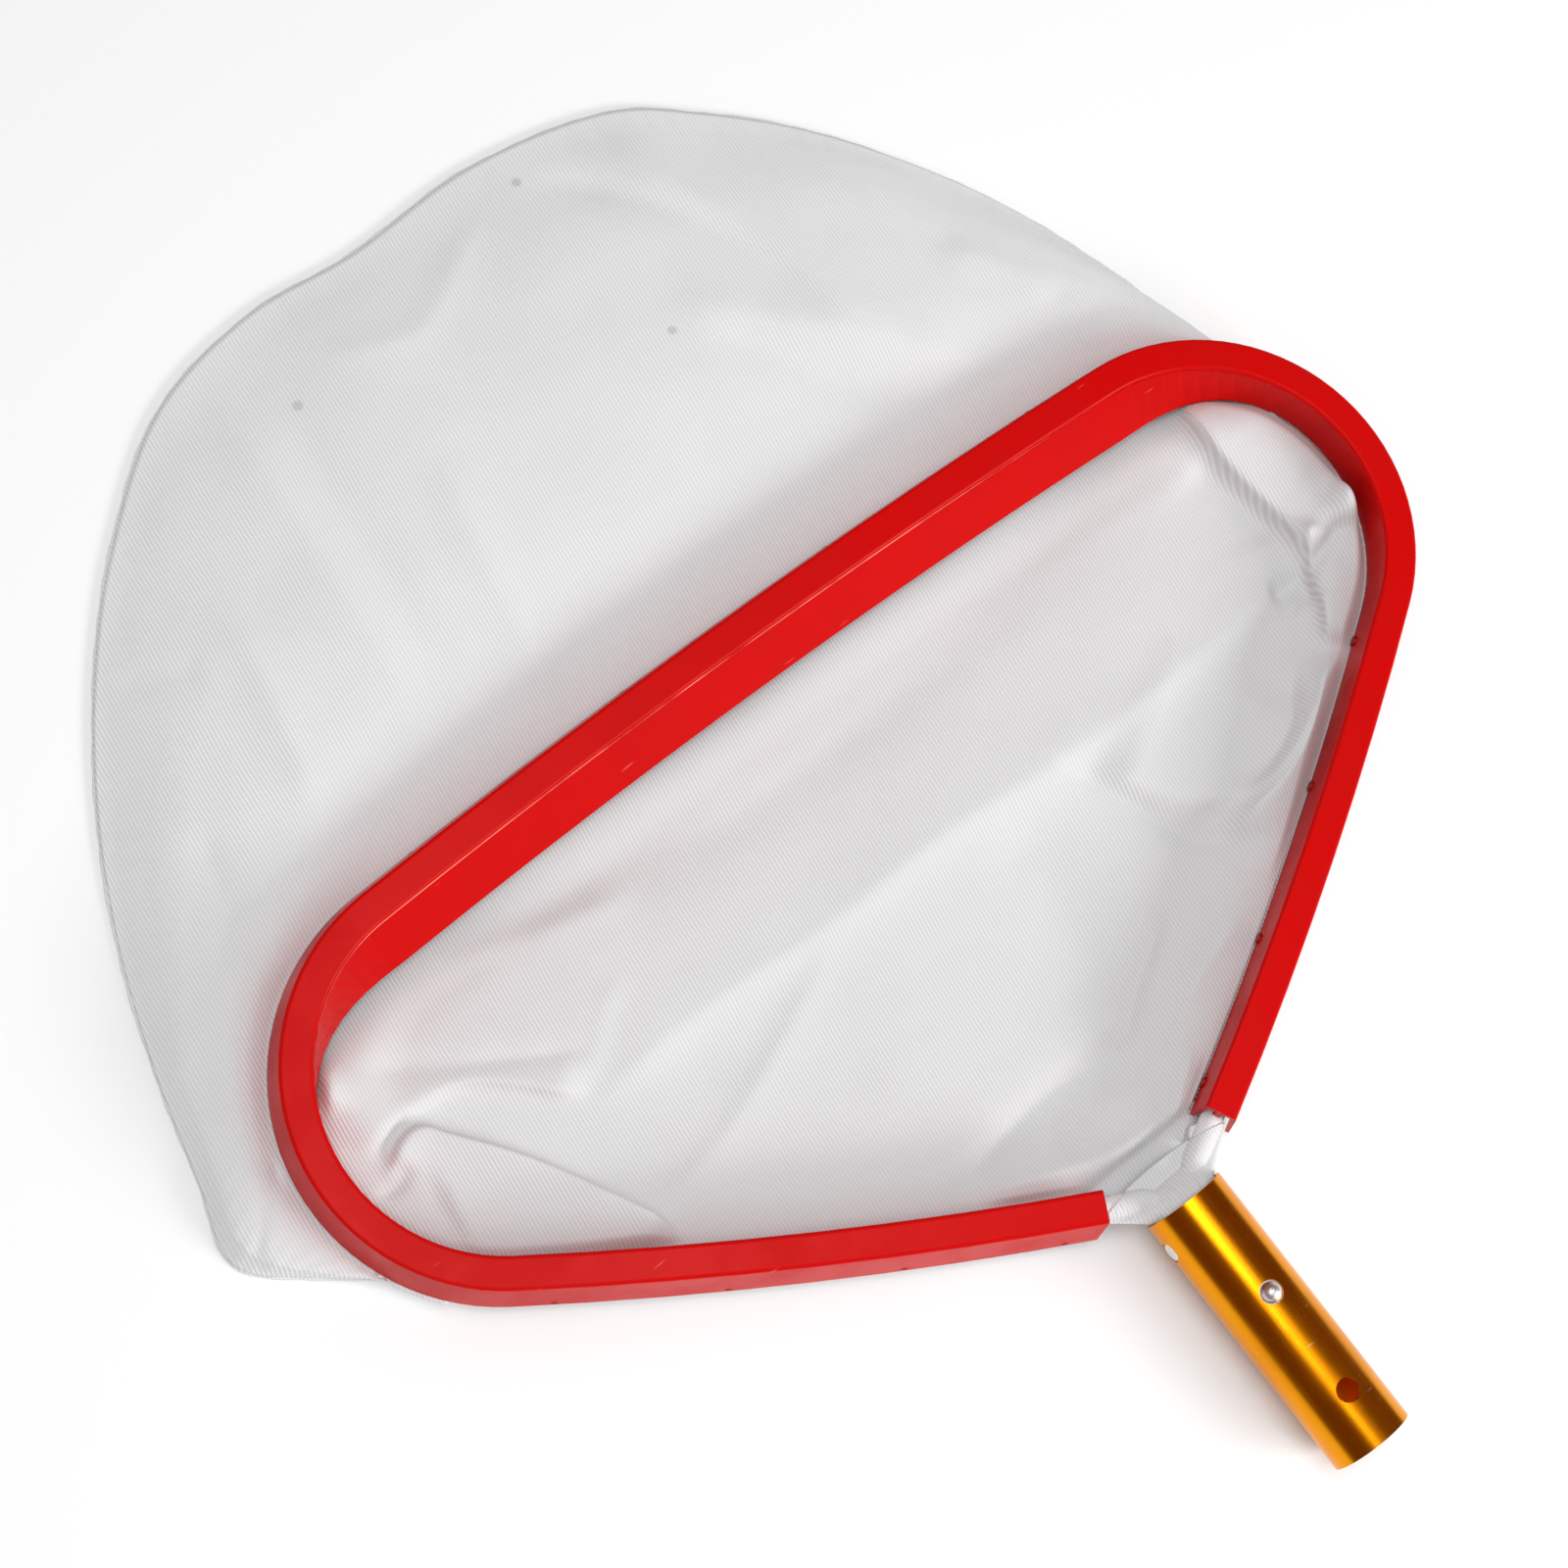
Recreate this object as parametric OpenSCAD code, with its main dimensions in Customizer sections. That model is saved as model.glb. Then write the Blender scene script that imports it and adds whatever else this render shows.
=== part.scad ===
// Leaf skimmer net: a bent rod loop with a clipped-on plastic rim strip, a flat fabric bag
// sewn round the rod, and a tubular handle socket with a sprung two-button pole clip.
// The origin is the centre of the socket's open end. +Y runs along the socket to the front
// of the net, +Z is the side that debris enters from, and the net lies with its bag on the floor.

/* [Handle socket] */
// Outer diameter of the socket tube
socket_d = 30; // [26:0.5:38]
// Wall of the socket tube
socket_wall = 1.4; // [1:0.1:2]
// Length of the socket tube
socket_len = 100; // [92:1:140]
// Diameter of the four clip and screw holes
clip_hole_d = 8.3; // [7.8:0.1:10]
// Clip holes, back from the tube's front rim
clip_inset = 40; // [36:0.5:50]
// Spare screw holes, from the open end
spare_hole_y = 20; // [10:0.5:21]
// Diameter of the rivet's holes in the tube
rivet_hole_d = 7.6; // [7.2:0.1:9]
// Rivet axis, back from the tube's front rim
rivet_inset = 11; // [9:0.5:14]

/* [Frame rod] */
// Width of the loop, across the rod's centre line
loop_w = 444; // [370:1:560]
// Front of the loop, from the tube's front rim to the rod's centre line
loop_reach = 242; // [205:1:300]
// Rod diameter
rod_d = 7; // [5.5:0.1:8.5]
// Radius of the two front corners, at the rod's centre line
corner_r = 67; // [55:1:85]
// Radius of the gently bowed front
front_bow_r = 3000; // [2000:50:6000]
// Radius of the gently bowed sides
side_bow_r = 1500; // [1000:50:3000]
// Radius of the bends where the rod turns into the socket
neck_r = 12; // [9:0.5:16]
// Half the distance between the two rod ends
rod_x = 6.5; // [6:0.1:7.2]

/* [Rim strip] */
// Room between the hem and each of the strip's legs
strip_room = 0.1; // [0.1:0.1:2]
// Height of the strip above the rod's centre line
strip_up = 11.5; // [9:0.1:14]
// Depth of the strip below the rod's centre line
strip_down = 8.5; // [7.8:0.1:9]
// Wall of the strip's two legs
leg_t = 1.5; // [1:0.1:2]
// Thickness of the strip's web
web_t = 1.8; // [1.2:0.1:3]
// Outward lean of the outer leg
outer_lean = 3.3; // [1:0.1:4]
// Inward lean of the inner leg
inner_lean = 0.1; // [0:0.1:1.5]
// Bare rod left between each end of the strip and the neck bend
strip_gap = 14; // [10:0.5:24]
// Widest reach of the scoop lip into the loop
lip_w = 12.5; // [8:0.1:18]
// Diameter of the cross pins that hold the strip on
pin_d = 2.4; // [2:0.1:3]

/* [Bag] */
// Reach of the bag beyond the rod at the front of the loop
bag_depth = 194; // [140:1:260]
// Thickness of the bag's fabric
fabric_t = 0.8; // [0.6:0.1:1.2]
// Thickness of the hem sleeve round the rod
hem_t = 0.6; // [0.4:0.1:0.8]
// Height of the bag's upper panel where it is puffed most, above the strip's lower edge
bag_puff = 7; // [3:0.5:14]

/* [Pole clip] */
// Play of a button in its hole, on each side
button_play = 0.65; // [0.4:0.05:1]
// How far a button stands out of the tube
button_proud = 2.5; // [2:0.1:3]
// Width of the clip's spring strip
clip_w = 8; // [6:0.5:9]
// Thickness of the clip's spring strip
clip_t = 0.8; // [0.5:0.1:1]
// Centre of the clip's bend, back from the buttons
clip_reach = 29; // [26:0.5:30]
// Centre-line radius of the clip's bend
clip_bend_r = 4; // [3:0.5:5]

/* [Hidden] */
$fn = 64;

red = [0.86, 0.02, 0.02];
gold = [0.88, 0.6, 0.1];
steel = [0.8, 0.8, 0.82];
cloth = [0.9, 0.9, 0.91];

running = 0.05;      // radial clearance of a pin or rod in its bore
seat_gap = 0.1;      // clearance of a piece that sits in the tube
cloth_gap = 0.3;     // clearance between cloth and its neighbours
through = 1;         // how far a cutter runs past what it cuts
round_fn = 48;       // facets of a swept round section
splice_len = 3;      // length of a splice
splice_in = 0.15;    // depth of a splice below the skin of what it joins
arc_gap = 0.003;     // hair gap between two neighbouring arcs, bridged by a splice
hem_slack = 0.02;    // slack of the hem on the rod

// Socket and plug
socket_r = socket_d / 2;
bore_r = socket_r - socket_wall;
rivet_y = socket_len - rivet_inset;
clip_hole_y = socket_len - clip_inset;
arm_tip_y = clip_hole_y + 6;
plug_y0 = arm_tip_y + 4;
plug_y1 = socket_len - 3;
plug_split = 0.2;
rivet_r = 2;
rivet_head_r = rivet_hole_d / 2 - running;
rivet_seat = socket_r - 2;
washer_t = 0.8;

// Loop of the rod: a front arc, two corner arcs, two side arcs, two neck bends
rod_r = rod_d / 2;
front_y = socket_len + loop_reach;
neck_y = plug_y1 + 1;
front_c = [0, front_y - front_bow_r];
corner_cx = loop_w / 2 - corner_r;
corner_c = [corner_cx, front_c.y + sqrt(pow(front_bow_r - corner_r, 2) - pow(corner_cx, 2))];
neck_c = [rod_x + neck_r, neck_y];
side_c = circle_meet(corner_c, side_bow_r - corner_r, neck_c, side_bow_r + neck_r);
front_a = asin(corner_cx / (front_bow_r - corner_r));
side_a0 = polar(side_c, neck_c);
side_a1 = polar(side_c, corner_c);
neck_a0 = polar(neck_c, side_c);
strip_a0 = side_a0 + (strip_gap / side_bow_r) * 180 / PI;
rod_end_y = plug_y0 + 1;

// Strip
hem_r = rod_r + hem_t;
half_w = hem_r + strip_room + leg_t;
strip_w = 2 * half_w;
top_z = strip_up;
foot_z = -strip_down;
edge_r = 1.4;
rib_half = 1.2;
lip_top_z = top_z - edge_r + 0.1;
lip_t = 1.8;
lip_fade = 1.0;      // reach of the lip at its faded ends
lip_fade_a = 62;     // turn of the corner over which the lip fades out
pin_z = foot_z + 2.2;
pin_head_t = 0.7;
pin_head_r = pin_d / 2 + 0.7;
side_pins = [0.06, 0.34, 0.64, 0.93];
front_pins = [0.28, 0.85];

// Bag
floor_z = -(socket_r + button_proud);
base_top_z = floor_z + fabric_t;
left_a = 222;        // where the bag's edge meets the left corner's arc
right_a = 18;        // where it meets the right corner's arc
bag_reach = front_y + bag_depth - corner_c.y;
panel_z = foot_z - cloth_gap;
// Edge of the bag: x in half loop widths, y in bag reaches from the corner's centre
bag_edge = [[-1.085, -0.064], [-1.171, 0.01], [-1.142, 0.113], [-1.091, 0.272],
            [-1.024, 0.423], [-0.937, 0.566], [-0.825, 0.704], [-0.688, 0.83], [-0.502, 0.95],
            [-0.297, 0.994], [-0.098, 0.987], [0.139, 0.999], [0.371, 0.963], [0.508, 0.887],
            [0.658, 0.762], [0.803, 0.58], [0.896, 0.394], [0.941, 0.243]];
// Section of the upper panel from the rod to the bag's edge: [share of the way, rise]
panel_steps = [[0.08, 0.35], [0.2, 0.8], [0.36, 1], [0.55, 0.8], [0.75, 0.3], [0.9, -0.45]];
panel_count = 72;

// Clip
clip_y = clip_hole_y - clip_reach;
arm_out_z = sqrt(pow(bore_r, 2) - pow(clip_w / 2, 2)) - 0.2;
arm_flat_y = clip_hole_y - 7;
arm_gap = 0.1;
stem_r = 1.5;
button_d = clip_hole_d - 2 * button_play;

// Direction in degrees from point a to point b
function polar(a, b) = atan2(b.y - a.y, b.x - a.x);
// Point at radius r and angle a round centre c
function round_pt(c, r, a) = [c.x + r * cos(a), c.y + r * sin(a)];
// Left-hand meeting point of a circle of radius ra round a and one of radius rb round b
function circle_meet(a, ra, b, rb) =
    let (d = norm(b - a), u = (b - a) / d,
         along = (ra * ra - rb * rb + d * d) / (2 * d),
         off = sqrt(ra * ra - along * along))
    a + along * u + off * [u.y, -u.x];
function mix(a, b, t) = a + (b - a) * t;
function smooth(t) = let (c = min(max(t, 0), 1)) c * c * (3 - 2 * c);
function mirrored(c) = [-c.x, c.y];

// Point and outward direction on the front of the loop, t from 0 at left_a to 1 at right_a
left_turn = left_a - 90 - front_a;
right_turn = 90 - front_a - right_a;
left_len = corner_r * left_turn * PI / 180;
front_len = 2 * front_bow_r * front_a * PI / 180;
right_len = corner_r * right_turn * PI / 180;
loop_len = left_len + front_len + right_len;
function loop_at(t, off = 0) =
    let (s = t * loop_len)
    s < left_len ?
        round_pt(mirrored(corner_c), corner_r + off, left_a - left_turn * s / left_len)
    : s < left_len + front_len ?
        round_pt(front_c, front_bow_r + off, 90 + front_a - 2 * front_a * (s - left_len) / front_len)
    : round_pt(corner_c, corner_r + off,
               90 - front_a - right_turn * (s - left_len - front_len) / right_len);

// Smooth curve through a list of points, t from 0 to 1
function curve(p, t) =
    let (n = len(p) - 1, s = min(t, 0.99999) * n, i = floor(s), f = s - i,
         a = p[max(i - 1, 0)], b = p[i], c = p[i + 1], d = p[min(i + 2, n)])
    0.5 * (2 * b + (c - a) * f + (2 * a - 5 * b + 4 * c - d) * f * f
           + (3 * b - a - 3 * c + d) * f * f * f);
edge_pts = concat([loop_at(0)], [for (p = bag_edge) [p.x * loop_w / 2, corner_c.y + p.y * bag_reach]],
                  [loop_at(1)]);

// Closed solid through a list of rings that have the same number of points
module ring_solid(rings) {
    n = len(rings[0]);
    m = len(rings);
    polyhedron(
        points = [for (r = rings) each r],
        faces = concat(
            [[for (j = [0:n - 1]) j]],
            [for (i = [0:m - 2], j = [0:n - 1])
                let (k = (j + 1) % n) [i * n + j, (i + 1) * n + j, (i + 1) * n + k]],
            [for (i = [0:m - 2], j = [0:n - 1])
                let (k = (j + 1) % n) [i * n + j, (i + 1) * n + k, i * n + k]],
            [[for (j = [n - 1:-1:0]) (m - 1) * n + j]]),
        convexity = 8);
}

// Sweeps a section round one arc of the loop. In the section x is outward from the rod, y is up
module arc_sweep(c, r, a0, a1) {
    gap_a = arc_gap / r * 180 / PI;
    translate([c.x, c.y, 0])
        rotate([0, 0, a0 + gap_a])
            rotate_extrude(angle = a1 - a0 - 2 * gap_a, $fn = max(64, ceil(2 * PI * r / 6)))
                translate([r, 0]) children();
}

// Places children on an arc, with x outward and y along the loop
module at_arc(c, r, a) {
    translate([each round_pt(c, r, a), 0]) rotate([0, 0, a]) children();
}

// Places a splice, which keeps two neighbouring arcs one solid, at each end of both corner arcs
module each_splice() {
    for (side = [0, 1], a = [90 - front_a, side_a1])
        mirror([side, 0, 0]) at_arc(corner_c, corner_r, a) children();
}

// Sweeps a section round the loop, from a_end on each side arc
module loop_sweep(a_end) {
    arc_sweep(front_c, front_bow_r, 90 - front_a, 90 + front_a) children();
    arc_sweep(corner_c, corner_r, side_a1, 90 - front_a) children();
    arc_sweep(side_c, side_bow_r, a_end, side_a1) children();
    arc_sweep(mirrored(corner_c), corner_r, 90 + front_a, 180 - side_a1) children();
    arc_sweep(mirrored(side_c), side_bow_r, 180 - side_a1, 180 - a_end) children();
}

// The neck bend of the rod or of its wrap, and its straight end in the socket
module neck_sweep(y_end) {
    arc_sweep(neck_c, neck_r, neck_a0, 180) children();
    translate([rod_x, neck_y - arc_gap, 0])
        rotate([90, 0, 0])
            linear_extrude(neck_y - arc_gap - y_end) children();
}

// Places a splice at each end of a neck bend
module each_neck_splice() {
    at_arc(neck_c, neck_r, neck_a0) children();
    at_arc(neck_c, neck_r, 180) children();
}

// Places children at each cross pin, with x outward along the pin
module each_pin() {
    for (side = [0, 1]) mirror([side, 0, 0]) {
        for (f = side_pins) {
            a = mix(strip_a0, side_a1, f);
            translate([each round_pt(side_c, side_bow_r, a), pin_z]) rotate([0, 0, a]) children();
        }
        for (f = front_pins) {
            a = 90 - front_a * f;
            translate([each round_pt(front_c, front_bow_r, a), pin_z]) rotate([0, 0, a]) children();
        }
    }
}

// Leans of the two legs' outer faces at the pins' height
pin_share = (top_z - edge_r - pin_z) / (top_z - edge_r - foot_z);
pin_in = half_w + inner_lean * pin_share;
pin_out = half_w + outer_lean * pin_share;

module handle_socket() {
    color(gold)
    difference() {
        rotate([-90, 0, 0]) cylinder(r = socket_r, h = socket_len);
        translate([0, -through, 0])
            rotate([-90, 0, 0]) cylinder(r = bore_r, h = socket_len + 2 * through);
        for (y = [clip_hole_y, spare_hole_y])
            translate([0, y, -socket_r - through])
                cylinder(d = clip_hole_d, h = socket_d + 2 * through);
        translate([-socket_r - through, rivet_y, 0])
            rotate([0, 90, 0]) cylinder(d = rivet_hole_d, h = socket_d + 2 * through);
    }
}

// One half of the plug that clamps the rod ends: side is 1 above the split, -1 below it
module plug_half(side) {
    len_y = plug_y1 - plug_y0;
    difference() {
        translate([0, plug_y0, 0])
            rotate([-90, 0, 0]) cylinder(r = bore_r - seat_gap, h = len_y);
        translate([-socket_r, plug_y0 - through, side > 0 ? -socket_r : -plug_split])
            cube([socket_d, len_y + 2 * through, socket_r + plug_split]);
        for (x = [-rod_x, rod_x])
            translate([x, plug_y0 - through, 0])
                rotate([-90, 0, 0]) cylinder(r = rod_r + running, h = len_y + 2 * through);
        translate([-socket_r, rivet_y, 0])
            rotate([0, 90, 0]) cylinder(r = rivet_r + running, h = socket_d);
        for (x = [-socket_r, rivet_seat])
            translate([x, rivet_y, 0])
                rotate([0, 90, 0]) cylinder(r = rivet_head_r + running, h = socket_r - rivet_seat);
    }
}

module plug_upper() { color([0.93, 0.93, 0.93]) plug_half(1); }
module plug_lower() { color([0.93, 0.93, 0.93]) plug_half(-1); }

// Flush head on the left, shank through both rod ends, peened tail over the washer
module plug_rivet() {
    tail_x = rivet_seat + washer_t;
    color(steel)
    translate([0, rivet_y, 0]) rotate([0, 90, 0])
        rotate_extrude()
            polygon([[0, -socket_r + 0.2], [rivet_head_r - 0.8, -socket_r + 0.2],
                     [rivet_head_r, -socket_r + 0.7], [rivet_head_r, -rivet_seat],
                     [rivet_r, -rivet_seat], [rivet_r, tail_x], [rivet_r + 1.1, tail_x],
                     [rivet_r + 0.8, socket_r - 0.5], [rivet_r, socket_r - 0.2], [0, socket_r - 0.2]]);
}

module rivet_washer() {
    color(steel)
    translate([rivet_seat, rivet_y, 0]) rotate([0, 90, 0])
        difference() {
            cylinder(r = rivet_head_r, h = washer_t);
            translate([0, 0, -through]) cylinder(r = rivet_r + running, h = washer_t + 2 * through);
        }
}

module clip_bend() {
    color(steel)
    intersection() {
        translate([-clip_w / 2, clip_y, 0]) rotate([0, 90, 0])
            difference() {
                cylinder(r = clip_bend_r + clip_t / 2, h = clip_w);
                translate([0, 0, -through])
                    cylinder(r = clip_bend_r - clip_t / 2, h = clip_w + 2 * through);
            }
        translate([-clip_w, clip_y - 2 * clip_bend_r, -2 * clip_bend_r])
            cube([2 * clip_w, 2 * clip_bend_r, 4 * clip_bend_r]);
    }
}

// Spring arm above the socket's axis, from the bend to past the button
module arm() {
    low = clip_bend_r - clip_t / 2;
    root_y = clip_y + arm_gap;
    difference() {
        translate([-clip_w / 2, 0, 0]) rotate([90, 0, 90])
            linear_extrude(clip_w)
                polygon([[root_y, low], [arm_flat_y, arm_out_z - clip_t], [arm_tip_y, arm_out_z - clip_t],
                         [arm_tip_y, arm_out_z], [arm_flat_y, arm_out_z], [root_y, low + clip_t]]);
        translate([0, clip_hole_y, arm_out_z - clip_t - through])
            cylinder(r = stem_r + running, h = clip_t + 2 * through);
    }
}

// Domed button riveted through the arm
module button() {
    tip_z = socket_r + button_proud;
    ball_r = (pow(button_d / 2, 2) + button_proud * button_proud) / (2 * button_proud);
    back_z = arm_out_z - clip_t;
    translate([0, clip_hole_y, 0])
        rotate_extrude()
            polygon(concat(
                [[0, back_z - 0.6], [stem_r + 0.8, back_z - 0.6], [stem_r + 0.8, back_z],
                 [stem_r, back_z], [stem_r, arm_out_z], [button_d / 2, arm_out_z]],
                [for (i = [0:6])
                    let (z = socket_r + button_proud * sin(15 * i))
                    [sqrt(max(ball_r * ball_r - pow(z - tip_z + ball_r, 2), 0)), z]]));
}

module clip_arm_upper() { color(steel) arm(); }
module clip_arm_lower() { color(steel) mirror([0, 0, 1]) arm(); }
module clip_button_upper() { color(steel) button(); }
module clip_button_lower() { color(steel) mirror([0, 0, 1]) button(); }

module rod_splice() { cube([rod_r, splice_len, rod_r], center = true); }

module frame_rod() {
    color(steel)
    difference() {
        union() {
            loop_sweep(side_a0) circle(r = rod_r, $fn = round_fn);
            each_splice() rod_splice();
            for (side = [0, 1]) mirror([side, 0, 0]) {
                neck_sweep(rod_end_y) circle(r = rod_r, $fn = round_fn);
                each_neck_splice() rod_splice();
            }
        }
        translate([-socket_r, rivet_y, 0])
            rotate([0, 90, 0]) cylinder(r = rivet_r + running, h = socket_d);
    }
}

// Inverted channel with rounded top edges, leaning legs and a rib that seats on the hem
module strip_section() {
    polygon(concat(
        [[-half_w - inner_lean, foot_z]],
        [for (i = [0:4])
            [-half_w + edge_r - edge_r * cos(22.5 * i), top_z - edge_r + edge_r * sin(22.5 * i)]],
        [for (i = [4:-1:0])
            [half_w - edge_r + edge_r * cos(22.5 * i), top_z - edge_r + edge_r * sin(22.5 * i)]],
        [[half_w + outer_lean, foot_z], [half_w + outer_lean - leg_t, foot_z],
         [half_w - leg_t, top_z - web_t], [rib_half, top_z - web_t], [rib_half, hem_r + running],
         [-rib_half, hem_r + running], [-rib_half, top_z - web_t], [-half_w + leg_t, top_z - web_t],
         [-half_w - inner_lean + leg_t, foot_z]]));
}

module rim_strip() {
    color(red)
    difference() {
        union() {
            loop_sweep(strip_a0) strip_section();
            each_splice() translate([0, 0, top_z - web_t / 2])
                cube([strip_w - 2 * edge_r, splice_len, web_t - 2 * splice_in], center = true);
        }
        each_pin() rotate([0, 90, 0])
            translate([0, 0, -strip_w]) cylinder(r = pin_d / 2 + running, h = 2 * strip_w);
    }
}

// Sloped blade along the inner side of the strip at the front, fading out round the corners
module scoop_lip() {
    count = 64;
    root = half_w + running;
    t0 = (left_len - corner_r * lip_fade_a * PI / 180) / loop_len;
    t1 = (left_len + front_len + corner_r * lip_fade_a * PI / 180) / loop_len;
    full = 0.16;
    color(red)
    ring_solid([for (i = [0:count])
        let (s = i / count, t = mix(t0, t1, s),
             w = mix(lip_fade, lip_w, smooth(min(s, 1 - s) / full)),
             a = loop_at(t, -root), b = loop_at(t, -root - w),
             c = loop_at(t, -root - max(w - lip_t, lip_fade / 3)))
        [[a.x, a.y, lip_top_z], [b.x, b.y, foot_z + 0.9], [c.x, c.y, foot_z], [a.x, a.y, lip_top_z - 3]]]);
}

module rim_pins() {
    color(steel)
    each_pin() rotate([0, 90, 0]) {
        translate([0, 0, -pin_in - running]) cylinder(d = pin_d, h = pin_in + pin_out);
        translate([0, 0, -pin_in - running - pin_head_t]) cylinder(r = pin_head_r, h = pin_head_t);
    }
}

module hem_section() {
    difference() {
        circle(r = hem_r, $fn = round_fn);
        circle(r = rod_r + hem_slack, $fn = round_fn);
    }
}

module hem_splice() {
    for (side = [-1, 1])
        translate([0, 0, side * (rod_r + hem_slack + hem_t / 2)])
            cube([hem_t / 2, splice_len / 2, hem_t / 2], center = true);
}

module rim_hem() {
    color(cloth) {
        loop_sweep(strip_a0) hem_section();
        each_splice() hem_splice();
    }
}

module neck_wrap() {
    arc_sweep(side_c, side_bow_r, side_a0, strip_a0) hem_section();
    neck_sweep(plug_y1 + cloth_gap) hem_section();
    each_neck_splice() hem_splice();
}
module neck_wrap_right() { color(cloth) neck_wrap(); }
module neck_wrap_left() { color(cloth) mirror([1, 0, 0]) neck_wrap(); }

// Gathered fabric between the two wrapped rods, from the throat of the loop to the socket
module neck_gusset() {
    front = round_pt(side_c, side_bow_r, strip_a0);
    color(cloth)
    ring_solid([
        for (s = [[socket_len + 1, rod_x + hem_r, -9, -7], [neck_y + 12, front.x * 0.62, -12, -10],
                  [front.y, front.x - hem_r, floor_z + 2, floor_z + 4]])
            [[-s[1], s[0], s[2]], [s[1], s[0], s[2]], [s[1], s[0], s[3]], [-s[1], s[0], s[3]]]]);
}

// Thin curved sheet from the front of the rod to the bag's edge
module net_upper_panel() {
    rim_z = base_top_z + 0.1 + fabric_t;
    function panel_line(t) =
        let (rod = loop_at(t), out = loop_at(t, half_w + outer_lean + 2), rim = curve(edge_pts, t))
        concat(
            [[rod.x, rod.y, -hem_r - cloth_gap], [rod.x, rod.y, panel_z + 0.4],
             [each loop_at(t, 2), panel_z], [out.x, out.y, panel_z]],
            [for (p = panel_steps)
                let (q = mix(out, rim, p[0]), flat = smooth(norm(rim - out) / 60))
                [q.x, q.y, panel_z + (p[1] > 0 ? bag_puff * p[1] * flat : (panel_z - rim_z) * p[1])]],
            [[rim.x, rim.y, rim_z]]);
    function under(p, i, t) =
        i < 2 ? [each loop_at(t, -fabric_t), p.z - (i == 1 ? fabric_t : 0)]
              : [p.x, p.y, p.z - fabric_t];
    color(cloth)
    ring_solid([for (k = [0:panel_count])
        let (t = mix(0.03, 0.97, k / panel_count), top = panel_line(t), n = len(top))
        concat(top, [for (i = [n - 1:-1:0]) under(top[i], i, t)])]);
}

// Flat sheet under the whole net, from the throat to the bag's far edge
module net_lower_panel() {
    inset = 0.5;
    side_steps = 10;
    function side_pt(i) = round_pt(side_c, side_bow_r + inset, mix(strip_a0, side_a1, i / side_steps));
    function corner_pt(i, a) = round_pt(corner_c, corner_r + inset, mix(side_a1, a, i / side_steps));
    outline = concat(
        [for (k = [0:90]) curve(edge_pts, k / 90)],
        [for (i = [side_steps - 1:-1:1]) corner_pt(i, right_a)],
        [for (i = [side_steps:-1:0]) side_pt(i)],
        [for (i = [0:side_steps]) mirrored(side_pt(i))],
        [for (i = [1:side_steps - 1]) mirrored(corner_pt(i, 180 - left_a))]);
    color(cloth)
    translate([0, 0, floor_z]) linear_extrude(fabric_t) polygon(outline);
}

// Upright sheet from the hem down to the lower panel, along both sides of the loop
module net_side_wall() {
    tall = -hem_r - cloth_gap - base_top_z;
    module section() {
        translate([-fabric_t / 2, base_top_z]) square([fabric_t, tall]);
    }
    color(cloth)
    difference() {
        union() {
            arc_sweep(side_c, side_bow_r, strip_a0, side_a1) section();
            arc_sweep(corner_c, corner_r, side_a1, right_a) section();
            arc_sweep(mirrored(side_c), side_bow_r, 180 - side_a1, 180 - strip_a0) section();
            arc_sweep(mirrored(corner_c), corner_r, left_a, 180 - side_a1) section();
            for (side = [0, 1]) mirror([side, 0, 0]) at_arc(corner_c, corner_r, side_a1)
                translate([0, 0, base_top_z + tall / 2])
                    cube([fabric_t - 2 * splice_in, splice_len, tall - 2 * splice_in], center = true);
        }
        each_pin() rotate([0, 90, 0])
            translate([0, 0, -strip_w]) cylinder(r = pin_d / 2 + cloth_gap, h = 2 * strip_w);
    }
}

// Bound seam along the bag's edge
module bag_seam() {
    r = 1;
    sides = 6;
    z = floor_z + r + 0.2;
    count = 80;
    function out(t) =
        let (d = curve(edge_pts, min(t + 0.002, 1)) - curve(edge_pts, max(t - 0.002, 0)))
        [-d.y, d.x] / norm(d);
    color(cloth)
    ring_solid([for (k = [0:count])
        let (t = mix(0.045, 0.955, k / count), n = out(t), c = curve(edge_pts, t) + n * (r + cloth_gap))
        [for (j = [0:sides - 1])
            let (a = 360 * j / sides) [c.x + n.x * r * cos(a), c.y + n.y * r * cos(a), z + r * sin(a)]]]);
}

handle_socket();
plug_upper();
plug_lower();
plug_rivet();
rivet_washer();
clip_bend();
clip_arm_upper();
clip_arm_lower();
clip_button_upper();
clip_button_lower();
frame_rod();
rim_strip();
scoop_lip();
rim_pins();
rim_hem();
neck_wrap_left();
neck_wrap_right();
neck_gusset();
net_upper_panel();
net_lower_panel();
net_side_wall();
bag_seam();
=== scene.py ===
"""Looks of a leaf skimmer net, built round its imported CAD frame.

A gold anodised socket carries a rod loop. A red channel strip is clipped over the loop, and a white
twill bag is sewn round the rod and laid out flat on the floor. Shapes are worked out in millimetres
in the frame of the CAD part and turned into metres when a mesh is made.
"""

import logging
import math
from dataclasses import dataclass, field
from enum import Enum

import bpy
import numpy as np
from mathutils import Matrix, Vector


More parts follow.
